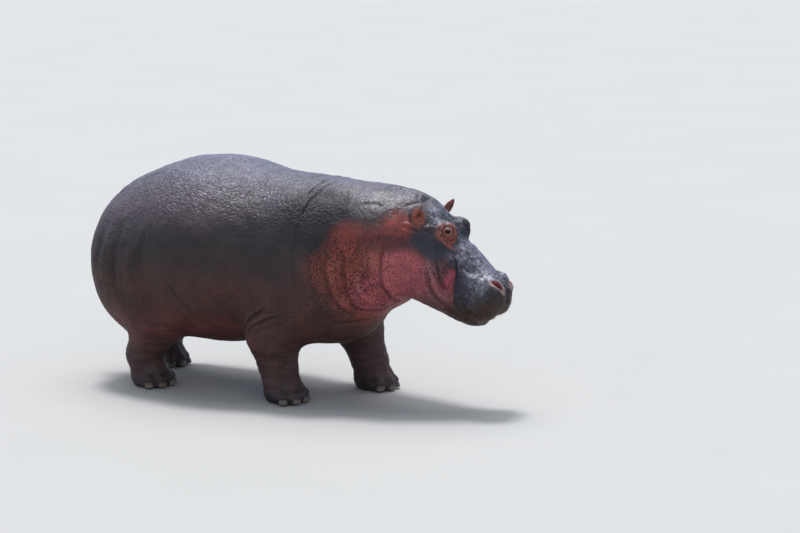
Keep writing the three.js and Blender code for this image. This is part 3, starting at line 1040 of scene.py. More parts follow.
@dataclass(frozen=True)
class Palette:
    """The hide's colours, from its dark back to its pink folds, among them painted highlights and painted
    shade.
    """

    # The back's tone, lighter than the flank partly as painted top light.
    back: str = "60545C"
    # A bluish painted sky reflection along the top of the back.
    spine: str = "7C7F9A"
    mantle: str = "18151B"
    flank: str = "322A2B"
    low_flank: str = "482B25"
    belly: str = "6C3635"
    shin: str = "4E3634"
    sole: str = "453B3D"
    neck: str = "7E4036"
    blush: str = "96463F"
    dewlap: str = "954A50"
    slate: str = "303039"
    # A pale bluish painted highlight on the crown.
    crown: str = "9496A6"
    cheek: str = "A2545B"
    ochre: str = "8E5A3E"
    jaw: str = "6A454C"
    hollow: str = "6C5058"
    under_eye: str = "292A33"
    ember: str = "9A4541"
    dusk: str = "2E1C20"
    ear: str = "8A4A3C"
    ear_cup_shade: str = "241012"
    muzzle: str = "2C2932"
    snout: str = "34200F"
    # Paler mottling: partly the hide's own, partly painted highlight.
    mottle_and_highlight: str = "8E8A9C"
    muzzle_highlight: str = "B4B2C4"
    # Lighter speckles for the lip pads, partly painted highlight.
    pads: str = "5F5D6C"
    pouch: str = "A44E60"
    disc: str = "7C403B"
    lid: str = "B48A80"
    lid_inside: str = "5A2A24"
    bag: str = "855040"
    front_crease: str = "54202A"
    ring_crease_shade: str = "4A1A1C"
    pucker_shade: str = "4E201D"
    brow_rim_highlight: str = "9A8288"
    disc_groove_shade: str = "241E22"
    socket: str = "7C3528"
    nostril: str = "80403A"
    nostril_rim: str = "B0948F"
    nostril_shade: str = "1E1112"


HUE = Palette()


@dataclass
class Markings:
    """Works out the hide's colour, with painted shade and highlights, and its spots, wetness and grain at
    every point, and stores them on the skin.
    """

    skin: bpy.types.Object

    def __post_init__(self) -> None:
        """Reads the skin, and folds its left side onto its right, since both sides are marked alike."""
        self.points, self.normals = points_of(self.skin), normals_of(self.skin)
        self.local, self.side = HEAD.local(self.points), self.points.copy()
        for places in (self.local, self.side):
            places[:, 1] = -np.abs(places[:, 1])
        self.waver = 0.6 * self.ripple(0.11, 51) + 0.4 * self.ripple(0.045, 52)
        self.cheek = blob(self.local, (-0.10, -0.20, -0.33), (0.30, 0.16, 0.155), 0.30)
        self.mantle = blob(self.side, (0.41, -0.40, 1.16), (0.22, 0.28, 0.19), 0.35)
        self.ear = Skin().zones(self.points)["ear"]

    def ripple(self, size: float, seed: int) -> Points:
        """Returns noise from -1 to 1, different on the two sides."""
        return ripple(self.points, size, seed)

    def paint(self) -> None:
        """Stores the markings as point attributes."""
        tone = self.head_tone(self.body_tone())
        crease, pale = self.line_shade_and_highlight()
        # Painted shade in the drawn creases and painted highlights on their raised rolls.
        tone *= 1 - 0.80 * np.clip(crease, 0, 1)[:, None]
        tone = tone + (1.9 * tone + 0.05 - tone) * (0.6 * np.clip(pale, 0, 1))[:, None]
        tone = self.nostril_tone(self.eye_tone(tone))
        for name, values in (("spots", self.spots()), ("wet", self.wetness()), ("grain", self.grain())):
            store = self.skin.data.attributes.new(name, "FLOAT", "POINT")
            store.data.foreach_set("value", np.clip(values, 0, 1).astype(np.float32))
        store = self.skin.data.attributes.new("tone", "FLOAT_COLOR", "POINT")
        full = np.column_stack((np.clip(tone, 0, 1), np.ones(len(tone))))
        store.data.foreach_set("color", full.astype(np.float32).ravel())

    def body_tone(self) -> Points:
        """Colours the body.

        Returns:
            The colours, before the head is coloured.
        """
        side, waver = self.side, self.waver
        x, _, z = side.T
        ragged = 0.035 * waver + 0.03 * ripple(side, 0.05, 53) + 0.02 * ripple(side, 0.022, 54)
        edge = 1.12 + 0.10 * ease(x, -0.30, 0.30) - 0.17 * ease(-x, 0.45, 1.10) + ragged
        tone = wash(
            np.tile(colour(HUE.flank), (len(side), 1)),
            # The back lighter than the flank above a ragged line: partly the hide's own tone, partly painted
            # top light.
            (HUE.back, ease(z - edge, -0.15, 0.11)),
            # A bluish painted sky reflection along the top of the back.
            (HUE.spine, ease(z + 0.5 * ragged, 1.22, 1.38) * 0.45),
            (HUE.low_flank, (1 - ease(z + 0.06 * waver, 0.62, 0.92)) * 0.9),
            (HUE.belly, (1 - ease(z + 0.05 * waver, 0.36, 0.54)) * 0.75 * (1 - ease(x, -0.1, 0.1))),
            (HUE.shin, 1 - ease(z + 0.05 * waver, 0.22, 0.40)),
            (HUE.sole, 1 - ease(z + 0.04 * waver, 0.03, 0.14)),
        )
        # Painted shade in the bottoms of the small wrinkles.
        tone = tone * (1 - self.valleys())[:, None]
        top = 0.90 + 0.17 * ease(x, 0.34, 0.56) - 0.09 * ease(x, 0.64, 0.78)
        start = x + 0.05 * waver - 0.12 * (1 - ease(z, 0.58, 0.85))
        throat = ease(start, 0.30, 0.46) * (1 - ease(z + 0.07 * waver, top - 0.10, top + 0.06))
        throat = throat * ease(z - 0.20 * (1 - ease(x, 0.35, 0.60)), 0.40, 0.60)
        tone = wash(
            tone,
            (HUE.mantle, self.mantle * 0.95),
            (HUE.neck, throat * 0.92),
            (HUE.blush, blob(side, (0.615, -0.341, 1.011), (0.11, 0.12, 0.09), 0.7) * (0.55 + 0.5 * waver)),
            (HUE.dewlap, blob(side, (0.72, -0.16, 0.68), (0.20, 0.24, 0.15), 0.45) * 0.85),
        )
        # Lighter and darker streaks, drawn out upright, over the throat.
        worn = throat * (0.34 * ripple(side, 0.030, 57, (0.8, 0.8, 1.8)) + 0.20 * ripple(side, 0.013, 58))
        return tone * (1 + worn)[:, None]

    def valleys(self) -> Points:
        """Finds the bottoms of the small wrinkles on the limbs, rump and back, where shade is painted.

        Returns:
            How much painted shade each point gets there.
        """
        side = self.side
        x, _, z = side.T
        limb = (1 - ease(z, 0.36, 0.52)) * (1 - creased(side, 0.046, 15, (2.6, 2.6, 0.6)))
        rear = ease(-x, 0.55, 0.80) * ease(z, 0.45, 0.6) * (1 - creased(side, 0.060, 19, (1.0, 1.0, 1.4)))
        upper = ease(z, 0.85, 1.15) * (1 - creased(side, 0.042, 12, (1.3, 1.0, 1.0)))
        return 0.62 * limb ** 1.5 + 0.50 * np.maximum(rear, upper) ** 2

    def head_tone(self, tone: Points) -> Points:
        """Colours the head and ears.

        Args:
            tone: The colours so far.

        Returns:
            The colours with the head's added.
        """
        side, local, waver, noise = self.side, self.local, self.waver, self.ripple
        u, v, w = local.T
        head = ease(u - 0.35 * w, -0.17, -0.02) * (side[:, 0] > 0.70)
        top = ease(w + 0.025 * waver, -0.215, -0.125)
        front = ease(0.730 * (u - 0.206) + 0.683 * (w + 0.172) + 0.003 * waver, -0.002, 0.008)
        cheek = self.cheek * (1 - front)
        ochre = blob(local, (-0.22, -0.20, -0.32), (0.12, 0.14, 0.13), 0.6)
        tone = wash(
            tone,
            (HUE.slate, head * np.maximum(top, front)),
            (HUE.cheek, cheek * 0.9),
            (HUE.ochre, ochre * np.clip(0.35 + 0.5 * noise(0.035, 62), 0, 0.8)),
        )
        tone = tone * (1 + cheek * (0.16 * noise(0.022, 63) + 0.10 * noise(0.009, 64)))[:, None]
        jaw = blob(local, (0.21, -0.13, -0.35), (0.15, 0.12, 0.09), 0.45) * (1 - front)
        hollow = blob(local, (0.10, -0.17, -0.20), (0.085, 0.07, 0.075), 0.5)
        snout = ease(u + 0.7 * (-0.12 - w) + 0.05 * waver, 0.34, 0.52)
        crown = np.clip(0.36 + 0.6 * noise(0.018, 65) + 0.5 * noise(0.008, 73), 0, 0.85)
        mottle_and_highlight = head * ease(u, 0.05, 0.14) * (1 - ease(u, 0.36, 0.42)) * ease(w, -0.16, -0.08)
        patches = 0.32 + 0.45 * noise(0.024, 56) + 0.60 * noise(0.009, 66) + 0.3 * waver
        pads = head * ease(u, 0.25, 0.31) * (1 - ease(w, -0.10, -0.06)) * ease(w, -0.26, -0.20)
        speckle = 0.16 + 0.5 * noise(0.019, 71) + 0.6 * noise(0.008, 72)
        along, out = self.pouch_place()
        pouch = (1 - ease(np.hypot(along / 0.078, out / 0.037) + 0.12 * waver, 0.6, 1.15)) * (v < -0.05)
        mottle = np.clip(0.52 + 0.45 * waver + 0.40 * noise(0.020, 55) + 0.25 * noise(0.009, 68), 0, 0.92)
        ember = blob(side, (0.875, -0.200, 1.110), (0.105, 0.10, 0.075), 0.5)
        ember = ember * ease(-side[:, 1], 0.125, 0.165) * (1 - ease(side[:, 0], 0.93, 0.99))
        tone = wash(
            tone,
            (HUE.jaw, jaw * 0.8),
            (HUE.hollow, hollow * 0.7 * (1 - front)),
            (HUE.muzzle, head * np.maximum(ease(u + 0.02 * waver, 0.27, 0.36), front)),
            (HUE.snout, head * snout * 0.85),
            # A pale bluish painted highlight on the crown behind the eye.
            (HUE.crown, blob(local, (-0.125, -0.075, 0.01), (0.07, 0.07, 0.05), 0.5) * crown),
            # Paler mottling on the bridge's upper faces: partly the hide's own, partly painted highlight.
            (HUE.mottle_and_highlight, mottle_and_highlight * np.clip(patches, 0, 0.80)),
            # A painted highlight on top of the muzzle behind the nostrils.
            (HUE.muzzle_highlight, blob(local, (0.345, -0.100, -0.050), (0.075, 0.050, 0.040), 0.6)
             * np.clip(0.30 + 0.9 * noise(0.016, 67), 0, 0.85)),
            # Lighter speckles on the lip pads, partly painted highlight.
            (HUE.pads, pads * (1 - ease(u, 0.38, 0.45)) * np.clip(speckle, 0, 0.70)),
            (HUE.pouch, pouch * (1 - front) * (0.72 + 0.28 * noise(0.007, 61))),
            (HUE.dusk, blob(side, (0.835, -0.265, 1.010), (0.16, 0.12, 0.062), 0.6) * (0.80 + 0.4 * waver)),
            (HUE.ember, ember * mottle),
            (HUE.ember, blob(side, (0.790, -0.250, 1.040), (0.12, 0.12, 0.07), 0.6) * mottle * 0.45),
        )
        for name in SIDES:
            low, high = corners_of(f"ear_{name}")
            middle, radii = (low + high) / 2 + (0, 0, 0.010), (0.45, 0.45, 0.54) * (high - low)
            tone = wash(tone, (HUE.ear, blob(self.points, middle, radii, 0.14) * 0.85))
        under = blob(local, (-0.02, -0.19, -0.13), (0.12, 0.08, 0.06), 0.5)
        # Painted shade inside the ears' cups and on the skin that faces them.
        return wash(tone, (HUE.ear_cup_shade, self.ear_cup_shade() * self.ear * 0.92), (HUE.under_eye, under * 0.85))

    def ear_cup_shade(self) -> Points:
        """Finds where painted shade goes: the insides of the ears' cups and the skin that faces them.

        Returns:
            How much painted shade each point gets, from 0 to 1.
        """
        deep = np.zeros(len(self.points))
        for side in SIDES:
            out = self.points - centre_of(f"ear_{side}")
            facing = np.sum(unit(out) * self.normals, axis=1)
            deep = np.maximum(deep, (1 - ease(facing, -0.2, 0.45)) * (np.linalg.norm(out, axis=1) < 0.07))
        return deep

    def pouch_place(self) -> tuple[Points, Points]:
        """Places points round the pink pouch behind the muzzle.

        Returns:
            Each point's place along and across it.
        """
        middle, top = np.array((0.202, -0.212)), np.array((0.172, -0.160))
        run = unit(top - middle)
        flat = self.local[:, [0, 2]] - middle
        return flat @ run, flat @ np.array((-run[1], run[0]))

    def eye_tone(self, tone: Points) -> Points:
        """Colours the lids and the bare disc round each eye, with painted shade and highlights.

        Args:
            tone: The colours so far.

        Returns:
            The colours with these added.
        """
        for setting in EYES:
            far, off, turn, wide = setting.polar(self.points)
            near = (far < 0.15) & (off < 1.7)
            place = setting.place_of(self.points, turn, wide)
            rear, upper = setting.rear(turn), setting.brow(turn)
            disc = 1 - ease(place, setting.disc - 0.004 - 0.020 * rear, setting.disc + 0.008 + 0.016 * rear)
            disc = disc * near * (1 - ease(far, 0.098, 0.122))
            patchy = 0.5 + 0.8 * self.ripple(0.016, 34)
            grooves = sum(bell(place - crease, 0.0030) for crease in setting.creases)
            crests = sum(bell(place - fold, 0.0042) for fold in setting.folds)
            wrinkled = np.maximum(-setting.puckers(self.points, place), 0) * (1.1 - upper)
            forward = ease(np.cos(turn), 0.30, 0.85) * bell(place - 0.056, 0.011)
            edge = off - setting.rim(turn)
            tone = wash(
                tone,
                (HUE.disc, disc * (0.86 + 0.14 * patchy)),
                (HUE.bag, disc * (1 - upper) * ease(place, 0.034, 0.044) * 0.75),
                (HUE.front_crease, disc * forward * 0.75),
                # Painted shade in the rings' creases.
                (HUE.ring_crease_shade, disc * np.clip(grooves * (0.5 + 0.4 * patchy), 0, 0.85)),
                # Painted shade in the bag's wrinkles.
                (HUE.pucker_shade, disc * wrinkled * 0.75),
                # Paler fold crests, more on the upper side: partly the folds' own tone, partly painted
                # highlight.
                (HUE.lid, disc * np.clip(crests * patchy, 0, 1) * (0.25 + 0.35 * upper)),
                # A painted highlight along the upper rim of the disc.
                (HUE.brow_rim_highlight, upper * bell(place - setting.disc, 0.0055) * near * 0.8),
                (HUE.lid, bell(edge - 0.20, 0.13) * near * (0.55 + 0.35 * np.abs(np.sin(turn)))),
                (HUE.lid_inside, bell(edge - 0.42, 0.10) * near * 0.6),
                # Painted shade in the groove outside the disc's rim.
                (HUE.disc_groove_shade, bell(place - setting.disc - 0.012, 0.007) * near * (1 - rear) * 0.7),
                (HUE.socket, (1 - ease(edge, 0.00, 0.06)) * near),
            )
        return tone

    def nostril_tone(self, tone: Points) -> Points:
        """Colours the nostrils' reddish insides and pale rims, with painted shade in their depths.

        Args:
            tone: The colours so far.

        Returns:
            The colours with these added.
        """
        for slit in NOSTRILS:
            oval, near = slit.ovalness(self.points)
            tone = wash(
                tone,
                (HUE.nostril_rim, near * bell(oval - 1.32, 0.28) * 0.80),
                (HUE.nostril, near * (1 - ease(oval, 0.85, 1.15))),
                # Painted shade deep in the nostril.
                (HUE.nostril_shade, near * (1 - ease(oval, 0.20, 0.60)) * 0.75),
            )
        return tone

    def line_shade_and_highlight(self) -> tuple[Points, Points]:
        """Finds the painted shade in the drawn lines' creases and the painted highlights on their rolls.

        Returns:
            How much painted shade and painted highlight each point gets.
        """
        crease, pale = np.zeros((2, len(self.points)))
        for line in BODY_LINES + HEAD_LINES:
            for near, across, strength in line.measure(self.points, self.normals):
                crease[near] = np.maximum(crease[near], line.painted_crease_shade(across) * strength)
                pale[near] = np.maximum(pale[near], line.painted_roll_highlight(across) * strength)
        return crease, pale

    def spots(self) -> Points:
        """Scatters dark spots: few on the cheek, many on the neck.

        Returns:
            How many spots there are at each point, from 0 to 1.
        """
        x, _, z = self.side.T
        throat = ease(x, 0.28, 0.42) * (1 - ease(z, 1.00, 1.14)) * ease(z, 0.42, 0.58)
        front = 1 - ease(self.local[:, 0], 0.12, 0.22)
        belly = (1 - ease(z, 0.62, 0.90)) * ease(z, 0.30, 0.42) * 0.72
        amount = np.maximum(throat * front * (0.95 + 0.15 * self.waver), belly)
        amount = np.maximum(amount, self.cheek * 0.70 * front)
        amount = np.where(self.cheek > 0.5, np.minimum(amount, 0.70), amount)
        bare = np.maximum.reduce((
            blob(self.local, (-0.02, -0.19, -0.10), (0.15, 0.12, 0.10), 0.25),
            blob(self.local, (0.03, -0.14, -0.02), (0.11, 0.12, 0.11), 0.2),
            Skin().zones(self.side)["ear"],
        ))
        return amount * (1 - bare)

    def wetness(self) -> Points:
        """Wets the hide: most on the upward faces of the head and along the back.

        Returns:
            How wet each point is, from about 0 to 1.
        """
        x, _, z = self.side.T
        u = self.local[:, 0]
        head = ease(u, -0.22, -0.05) * (x > 0.7) * (1 - ease(u, 0.46, 0.52))
        head = head * (1 - 0.7 * blob(self.local, (0.06, -0.18, -0.19), (0.17, 0.12, 0.13), 0.4))
        back = ease(z, 0.98, 1.25) * 0.85 * (1 - 0.7 * self.mantle)
        upward = 0.12 + 0.88 * ease(self.normals[:, 2], -0.05, 0.55)
        return np.maximum(head, back) * upward + 0.05 * self.waver + 0.05

    def grain(self) -> Points:
        """Pebbles the hide: strongly on the back and nose, hardly on the flank and dewlap.

        Returns:
            How pebbled each point is, from 0 to 1.
        """
        x, _, z = self.side.T
        u, _, w = self.local.T
        back = ease(z, 0.98, 1.16) * (1 - ease(x, 0.95, 1.1))
        nose = ease(w, -0.16, -0.06) * ease(u, 0.08, 0.16)
        crown = blob(self.local, (-0.13, -0.08, 0.0), (0.13, 0.14, 0.08), 0.5)
        nape = ease(x, 0.36, 0.60) * (1 - ease(u, 0.0, 0.1))
        body = np.maximum(0.32 + 0.68 * back, 0.90 * ease(-x, 0.5, 0.9) * ease(z, 0.5, 0.7))
        body = body * (1 - 0.62 * nape)
        pads = ease(u, 0.24, 0.32)
        return np.maximum.reduce((body, nose * 0.85, crown * 0.6, pads * 0.75, self.cheek * 0.42))


# ---------------------------------------------------------------- node wiring


class Wiring:
    """A node tree being wired up: each call adds one node and returns its output."""

    def __init__(self, tree: bpy.types.NodeTree) -> None:
        """Takes the tree to work in."""
        self.tree = tree

    def add(self, kind: str, inputs: dict[str | int, object] | None = None, output: str | int = 0,
            **settings: object) -> Socket:
        """Adds a node.

        Args:
            kind: The node's type, without its ShaderNode prefix.
            inputs: What each input holds: a socket to link or a plain value.
            output: Which output is returned.
            settings: The node's own settings.

        Returns:
            The chosen output.
        """
        node = self.tree.nodes.new("ShaderNode" + kind)
        for name, value in settings.items():
            setattr(node, name, value)
        self.feed(node, inputs or {})
        return node.outputs[output]

    def feed(self, node: bpy.types.Node, inputs: dict[str | int, object]) -> None:
        """Links sockets to a node's inputs, or sets them to plain values.

        Args:
            node: The node.
            inputs: What each of its inputs holds.
        """
        for name, value in inputs.items():
            if isinstance(value, Socket):
                self.tree.links.new(value, node.inputs[name])
            else:
                node.inputs[name].default_value = value

    def math(self, operation: str, first: object, second: object = 0.0) -> Socket:
        """Adds a math node."""
        return self.add("Math", {0: first, 1: second}, operation=operation)

    def times(self, first: object, second: object) -> Socket:
        """Adds a product."""
        return self.math("MULTIPLY", first, second)

    def plus(self, first: object, second: object) -> Socket:
        """Adds a sum."""
        return self.math("ADD", first, second)

    def minus(self, first: object, second: object) -> Socket:
        """Adds a difference."""
        return self.math("SUBTRACT", first, second)

    def vector(self, operation: str, first: object, second: object, output: str | int = 0) -> Socket:
        """Adds a vector math node."""
        return self.add("VectorMath", {0: first, 1: second}, output, operation=operation)

    def place(self) -> Socket:
        """Adds the place in the object's own coordinates."""
        return self.add("TexCoord", output="Object")

    def stored(self, name: str, output: str = "Fac") -> Socket:
        """Adds a point attribute of the mesh."""
        return self.add("Attribute", output=output, attribute_type="GEOMETRY", attribute_name=name)

    def mix(self, factor: object, first: object, second: object, blend: str = "MIX") -> Socket:
        """Adds a colour mix."""
        return self.add("Mix", {0: factor, 6: first, 7: second}, 2, data_type="RGBA", blend_type=blend)

    def remap(self, value: object, low: float, high: float, to_low: float = 0.0,
              to_high: float = 1.0) -> Socket:
        """Adds a smooth change of range."""
        inputs = {"Value": value, "From Min": low, "From Max": high, "To Min": to_low, "To Max": to_high}
        return self.add("MapRange", inputs, interpolation_type="SMOOTHSTEP")

    def noise(self, place: object, scale: object, detail: float = 3.0, rough: float = 0.55) -> Socket:
        """Adds noise."""
        return self.add("TexNoise", {"Vector": place, "Scale": scale, "Detail": detail, "Roughness": rough})

    def bump(self, height: object, strength: float, distance: float) -> Socket:
        """Adds a bump."""
        return self.add("Bump", {"Height": height, "Strength": strength, "Distance": distance})

    def effect(self, name: str, **inputs: object) -> Socket:
        """Places a node group, with its inputs by name, and returns its first output."""
        return self.add("Group", inputs, node_tree=EFFECTS[name])


def new_effect(name: str, made: dict[str, str], **given: str) -> tuple[Wiring, list[Socket], bpy.types.Node]:
    """Starts a node group.

    Args:
        name: The group's name.
        made: Each output's name and whether it is a Vector, Float or Color.
        given: The same for each input.

    Returns:
        The wiring, the sockets that bring the inputs, and the node that takes the outputs.
    """
    tree = bpy.data.node_groups.new(name, "ShaderNodeTree")
    for direction, sockets in (("INPUT", given), ("OUTPUT", made)):
        for label, kind in sockets.items():
            tree.interface.new_socket(name=label, in_out=direction, socket_type="NodeSocket" + kind)
    brought = list(tree.nodes.new("NodeGroupInput").outputs)[:len(given)]
    return Wiring(tree), brought, tree.nodes.new("NodeGroupOutput")


def pebbled_effect() -> bpy.types.NodeTree:
    """Makes the cracked, pebbled surface of hide or horn.

    Returns:
        A group from a place, a cell size and a warp to a height and a mask of its cracks.
    """
    net, (place, scale, warp), made = new_effect(
        "pebbled", {"Height": "Float", "Cracks": "Float"}, Place="Vector", Scale="Float", Warp="Float"
    )
    swirl = net.add("TexNoise", {"Vector": place, "Scale": net.times(scale, 0.45), "Detail": 2.0}, 1)
    drift = net.add("VectorMath", {0: swirl, "Scale": warp}, operation="SCALE")
    bent = net.vector("ADD", place, drift)
    cells = net.add("TexVoronoi", {"Vector": bent, "Scale": scale}, feature="DISTANCE_TO_EDGE")
    domes = net.times(net.remap(cells, 0.0, 0.30), 0.34)
    fine = net.times(net.noise(bent, net.times(scale, 1.3), 4.0, 0.5), 1.1)
    net.feed(made, {"Height": net.plus(domes, fine), "Cracks": net.remap(cells, 0.10, 0.0)})
    return net.tree


def spotted_effect() -> bpy.types.NodeTree:
    """Makes scattered dark spots.

    Returns:
        A group from a place, a scale and an amount to a mask of the spots.
    """
    net, (place, scale, amount), made = new_effect(
        "spotted", {"Mask": "Float"}, Place="Vector", Scale="Float", Amount="Float"
    )
    cells = net.add("TexVoronoi", {"Vector": place, "Scale": scale, "Randomness": 0.8})
    each = net.add("SeparateColor", {0: cells.node.outputs["Color"]})
    ragged = net.noise(place, net.times(scale, 2.2), 2.0)
    far = net.plus(cells, net.times(net.minus(ragged, 0.5), 0.20))
    size = net.times(amount, net.remap(each, 0.0, 1.0, 0.30, 0.46))
    net.feed(made, {"Mask": net.remap(net.minus(far, size), 0.03, -0.05)})
    return net.tree


def mottled_effect() -> bpy.types.NodeTree:
    """Makes uneven blotches of light and dark.

    Returns:
        A group from a colour, a place, a scale and a strength to the blotched colour.
    """
    net, (base, place, scale, strength), made = new_effect(
        "mottled", {"Result": "Color"}, Base="Color", Place="Vector", Scale="Float", Strength="Float"
    )
    broad = net.noise(place, scale, 5.0, 0.62)
    grey = net.plus(net.times(net.minus(broad, 0.5), strength), 1.0)
    tint = net.add("CombineColor", {0: grey, 1: grey, 2: grey})
    net.feed(made, {"Result": net.mix(1.0, base, tint, "MULTIPLY")})
    return net.tree


EFFECTS = {"pebbled": pebbled_effect(), "spotted": spotted_effect(), "mottled": mottled_effect()}


def new_material(name: str) -> tuple[bpy.types.Material, Wiring, bpy.types.Node]:
    """Starts a material.

    Args:
        name: The material's name.

    Returns:
        The material, its wiring and its shader.
    """
    material = bpy.data.materials.new(name)
    material.use_nodes = True
    return material, Wiring(material.node_tree), material.node_tree.nodes["Principled BSDF"]


@dataclass(frozen=True)
class HideFinish:
    """The wet, pebbled, spotted hide, with painted shade in its cracks and painted glints where it is wet."""

    coarse: float = 38.0
    fine: float = 140.0
    spot_scale: float = 78.0
    bump: float = 0.0068
    glint_scale: float = 74.0
    crack_shade: Colour = (0.012, 0.010, 0.012, 1.0)
    spot: Colour = (0.19, 0.15, 0.17, 1.0)
    glint: Colour = (0.340, 0.355, 0.430, 1.0)

    def material(self) -> bpy.types.Material:
        """Makes the hide's material, which follows the markings stored on the skin.

        Returns:
            The material.
        """
        material, net, shader = new_material("hide")
        place, tone = net.place(), net.stored("tone", "Color")
        spotted, wet, grain = (net.stored(name) for name in ("spots", "wet", "grain"))
        coarse = net.effect("pebbled", Place=place, Scale=self.coarse, Warp=0.012)
        cracks = coarse.node.outputs["Cracks"]
        fine = net.effect("pebbled", Place=place, Scale=self.fine, Warp=0.004)
        upright = net.vector("MULTIPLY", place, (1.0, 1.0, 0.62))
        spots = net.effect("spotted", Place=upright, Scale=self.spot_scale, Amount=spotted)
        few = net.remap(spotted, 0.6, 1.0)
        flecks = net.effect("spotted", Place=upright, Scale=self.spot_scale * 1.35, Amount=few)
        marked = net.math("MAXIMUM", spots, net.times(flecks, 0.85))
        blotched = net.effect("mottled", Base=tone, Place=place, Scale=7.0, Strength=1.35)
        blotched = net.effect("mottled", Base=blotched, Place=place, Scale=46.0, Strength=0.7)
        # Painted shade in the pebbles' cracks.
        base = net.mix(net.times(cracks, net.times(grain, 0.16)), blotched, self.crack_shade)
        base = net.mix(net.times(marked, 0.90), base, self.spot, "MULTIPLY")
        # Painted glints: pale bluish flecks on the wet hide.
        speckle = net.remap(net.noise(place, self.glint_scale, 3.0, 0.6), 0.52, 0.68)
        broad = net.remap(net.noise(place, 11.0, 2.0), 0.36, 0.62, 0.25, 1.0)
        glint = net.times(net.times(speckle, broad), net.remap(wet, 0.50, 1.0, 0.0, 0.55))
        base = net.mix(glint, base, self.glint)
        streaks = net.noise(net.vector("MULTIPLY", place, (1.6, 1.6, 0.7)), 14.0, 5.0)
        damp = net.times(wet, net.remap(streaks, 0.34, 0.62, 0.55, 1.0))
        relief = net.plus(net.times(coarse, grain), net.times(fine, 0.10))
        net.feed(shader, {
            "Base Color": base,
            "Roughness": net.minus(0.62, net.times(damp, 0.36)),
            "Normal": net.bump(relief, 1.0, self.bump),
            "IOR": 1.45,
            "Specular IOR Level": 0.38,
        })
        return material


@dataclass(frozen=True)
class EyeFinish:
    """A wet dark eye: pink-brown white, brown iris and a wide dark pupil."""

    setting: EyeSetting
    whites: tuple[Colour, Colour] = ((0.070, 0.014, 0.010, 1.0), (0.130, 0.040, 0.028, 1.0))
    irises: tuple[Colour, Colour] = ((0.012, 0.004, 0.002, 1.0), (0.045, 0.014, 0.007, 1.0))
    ring: Colour = (0.008, 0.005, 0.004, 1.0)
    pupil: Colour = (0.003, 0.003, 0.004, 1.0)

    def material(self) -> bpy.types.Material:
        """Makes the eye's material, drawn by distance from the way it looks.

        Returns:
            The material.
        """
        setting = self.setting
        radius = setting.radius
        material, net, shader = new_material(f"eye_{setting.side}")
        place = net.place()
        out = net.vector("SUBTRACT", place, tuple(setting.centre))
        beside = net.vector("CROSS_PRODUCT", out, tuple(setting.gaze))
        wide = net.add("VectorMath", {0: beside}, "Value", operation="LENGTH")
        rise = net.vector("DOT_PRODUCT", out, tuple(setting.up), "Value")
        slit = net.plus(wide, net.times(net.math("ABSOLUTE", rise), 0.55))
        rays = net.noise(net.add("VectorMath", {0: out}, operation="NORMALIZE"), 26.0, 3.0, 0.7)
        white, iris = net.mix(rays, *self.whites), net.mix(rays, *self.irises)
        inner = net.mix(net.remap(wide, 0.60 * radius, 0.50 * radius), white, iris)
        from_ring = net.math("ABSOLUTE", net.minus(wide, 0.56 * radius))
        ringed = net.mix(net.times(net.remap(from_ring, 0.07 * radius, 0.0), 0.8), inner, self.ring)
        net.feed(shader, {
            "Base Color": net.mix(net.remap(slit, 0.37 * radius, 0.31 * radius), ringed, self.pupil),
            "Roughness": net.remap(net.noise(place, 160.0, 2.0), 0.3, 0.7, 0.05, 0.12),
            "Coat Weight": 0.10,
            "Coat Roughness": 0.03,
            "Specular IOR Level": 0.12,
        })
        return material


@dataclass(frozen=True)
class NailFinish:
    """Dull dark horn, ridged along its length and paler and worn at its edge."""

    top: Colour = (0.050, 0.036, 0.034, 1.0)
    tip: Colour = (0.185, 0.145, 0.115, 1.0)

    def material(self) -> bpy.types.Material:
        """Makes the nails' material.

        Returns:
            The material.
        """
        material, net, shader = new_material("nail")
        place = net.place()
        height = net.add("SeparateXYZ", {0: place}, "Z")
        worn = net.plus(height, net.times(net.noise(place, 70.0, 3.0), 0.018))
        base = net.mix(net.remap(worn, 0.022, 0.052), self.tip, self.top)
        ridges = net.noise(net.vector("MULTIPLY", place, (1.0, 1.0, 0.12)), 420.0, 3.0, 0.6)
        pits = net.effect("pebbled", Place=place, Scale=190.0, Warp=0.003)
        net.feed(shader, {
            "Base Color": net.effect("mottled", Base=base, Place=place, Scale=60.0, Strength=1.1),
            "Roughness": net.remap(ridges, 0.3, 0.7, 0.38, 0.62),
            "Normal": net.bump(net.plus(ridges, net.times(pits, 0.5)), 0.6, 0.0008),
        })
        return material


@dataclass(frozen=True)
class BristleFinish:
    """Stiff bristles, from dark horn to pale straw."""

    dark: Colour = (0.060, 0.034, 0.022, 1.0)
    pale: Colour = (0.330, 0.215, 0.130, 1.0)

    def material(self) -> bpy.types.Material:
        """Makes the bristles' material.

        Returns:
            The material.
        """
        material, net, shader = new_material("bristle")
        place = net.place()
        base = net.mix(net.remap(net.noise(place, 90.0, 2.0), 0.35, 0.65), self.dark, self.pale)
        net.feed(shader, {
            "Base Color": net.effect("mottled", Base=base, Place=place, Scale=240.0, Strength=0.8),
            "Roughness": net.remap(net.noise(place, 300.0), 0.3, 0.7, 0.35, 0.55),
        })
        return material


# ---------------------------------------------------------------- eyes, nails and bristles


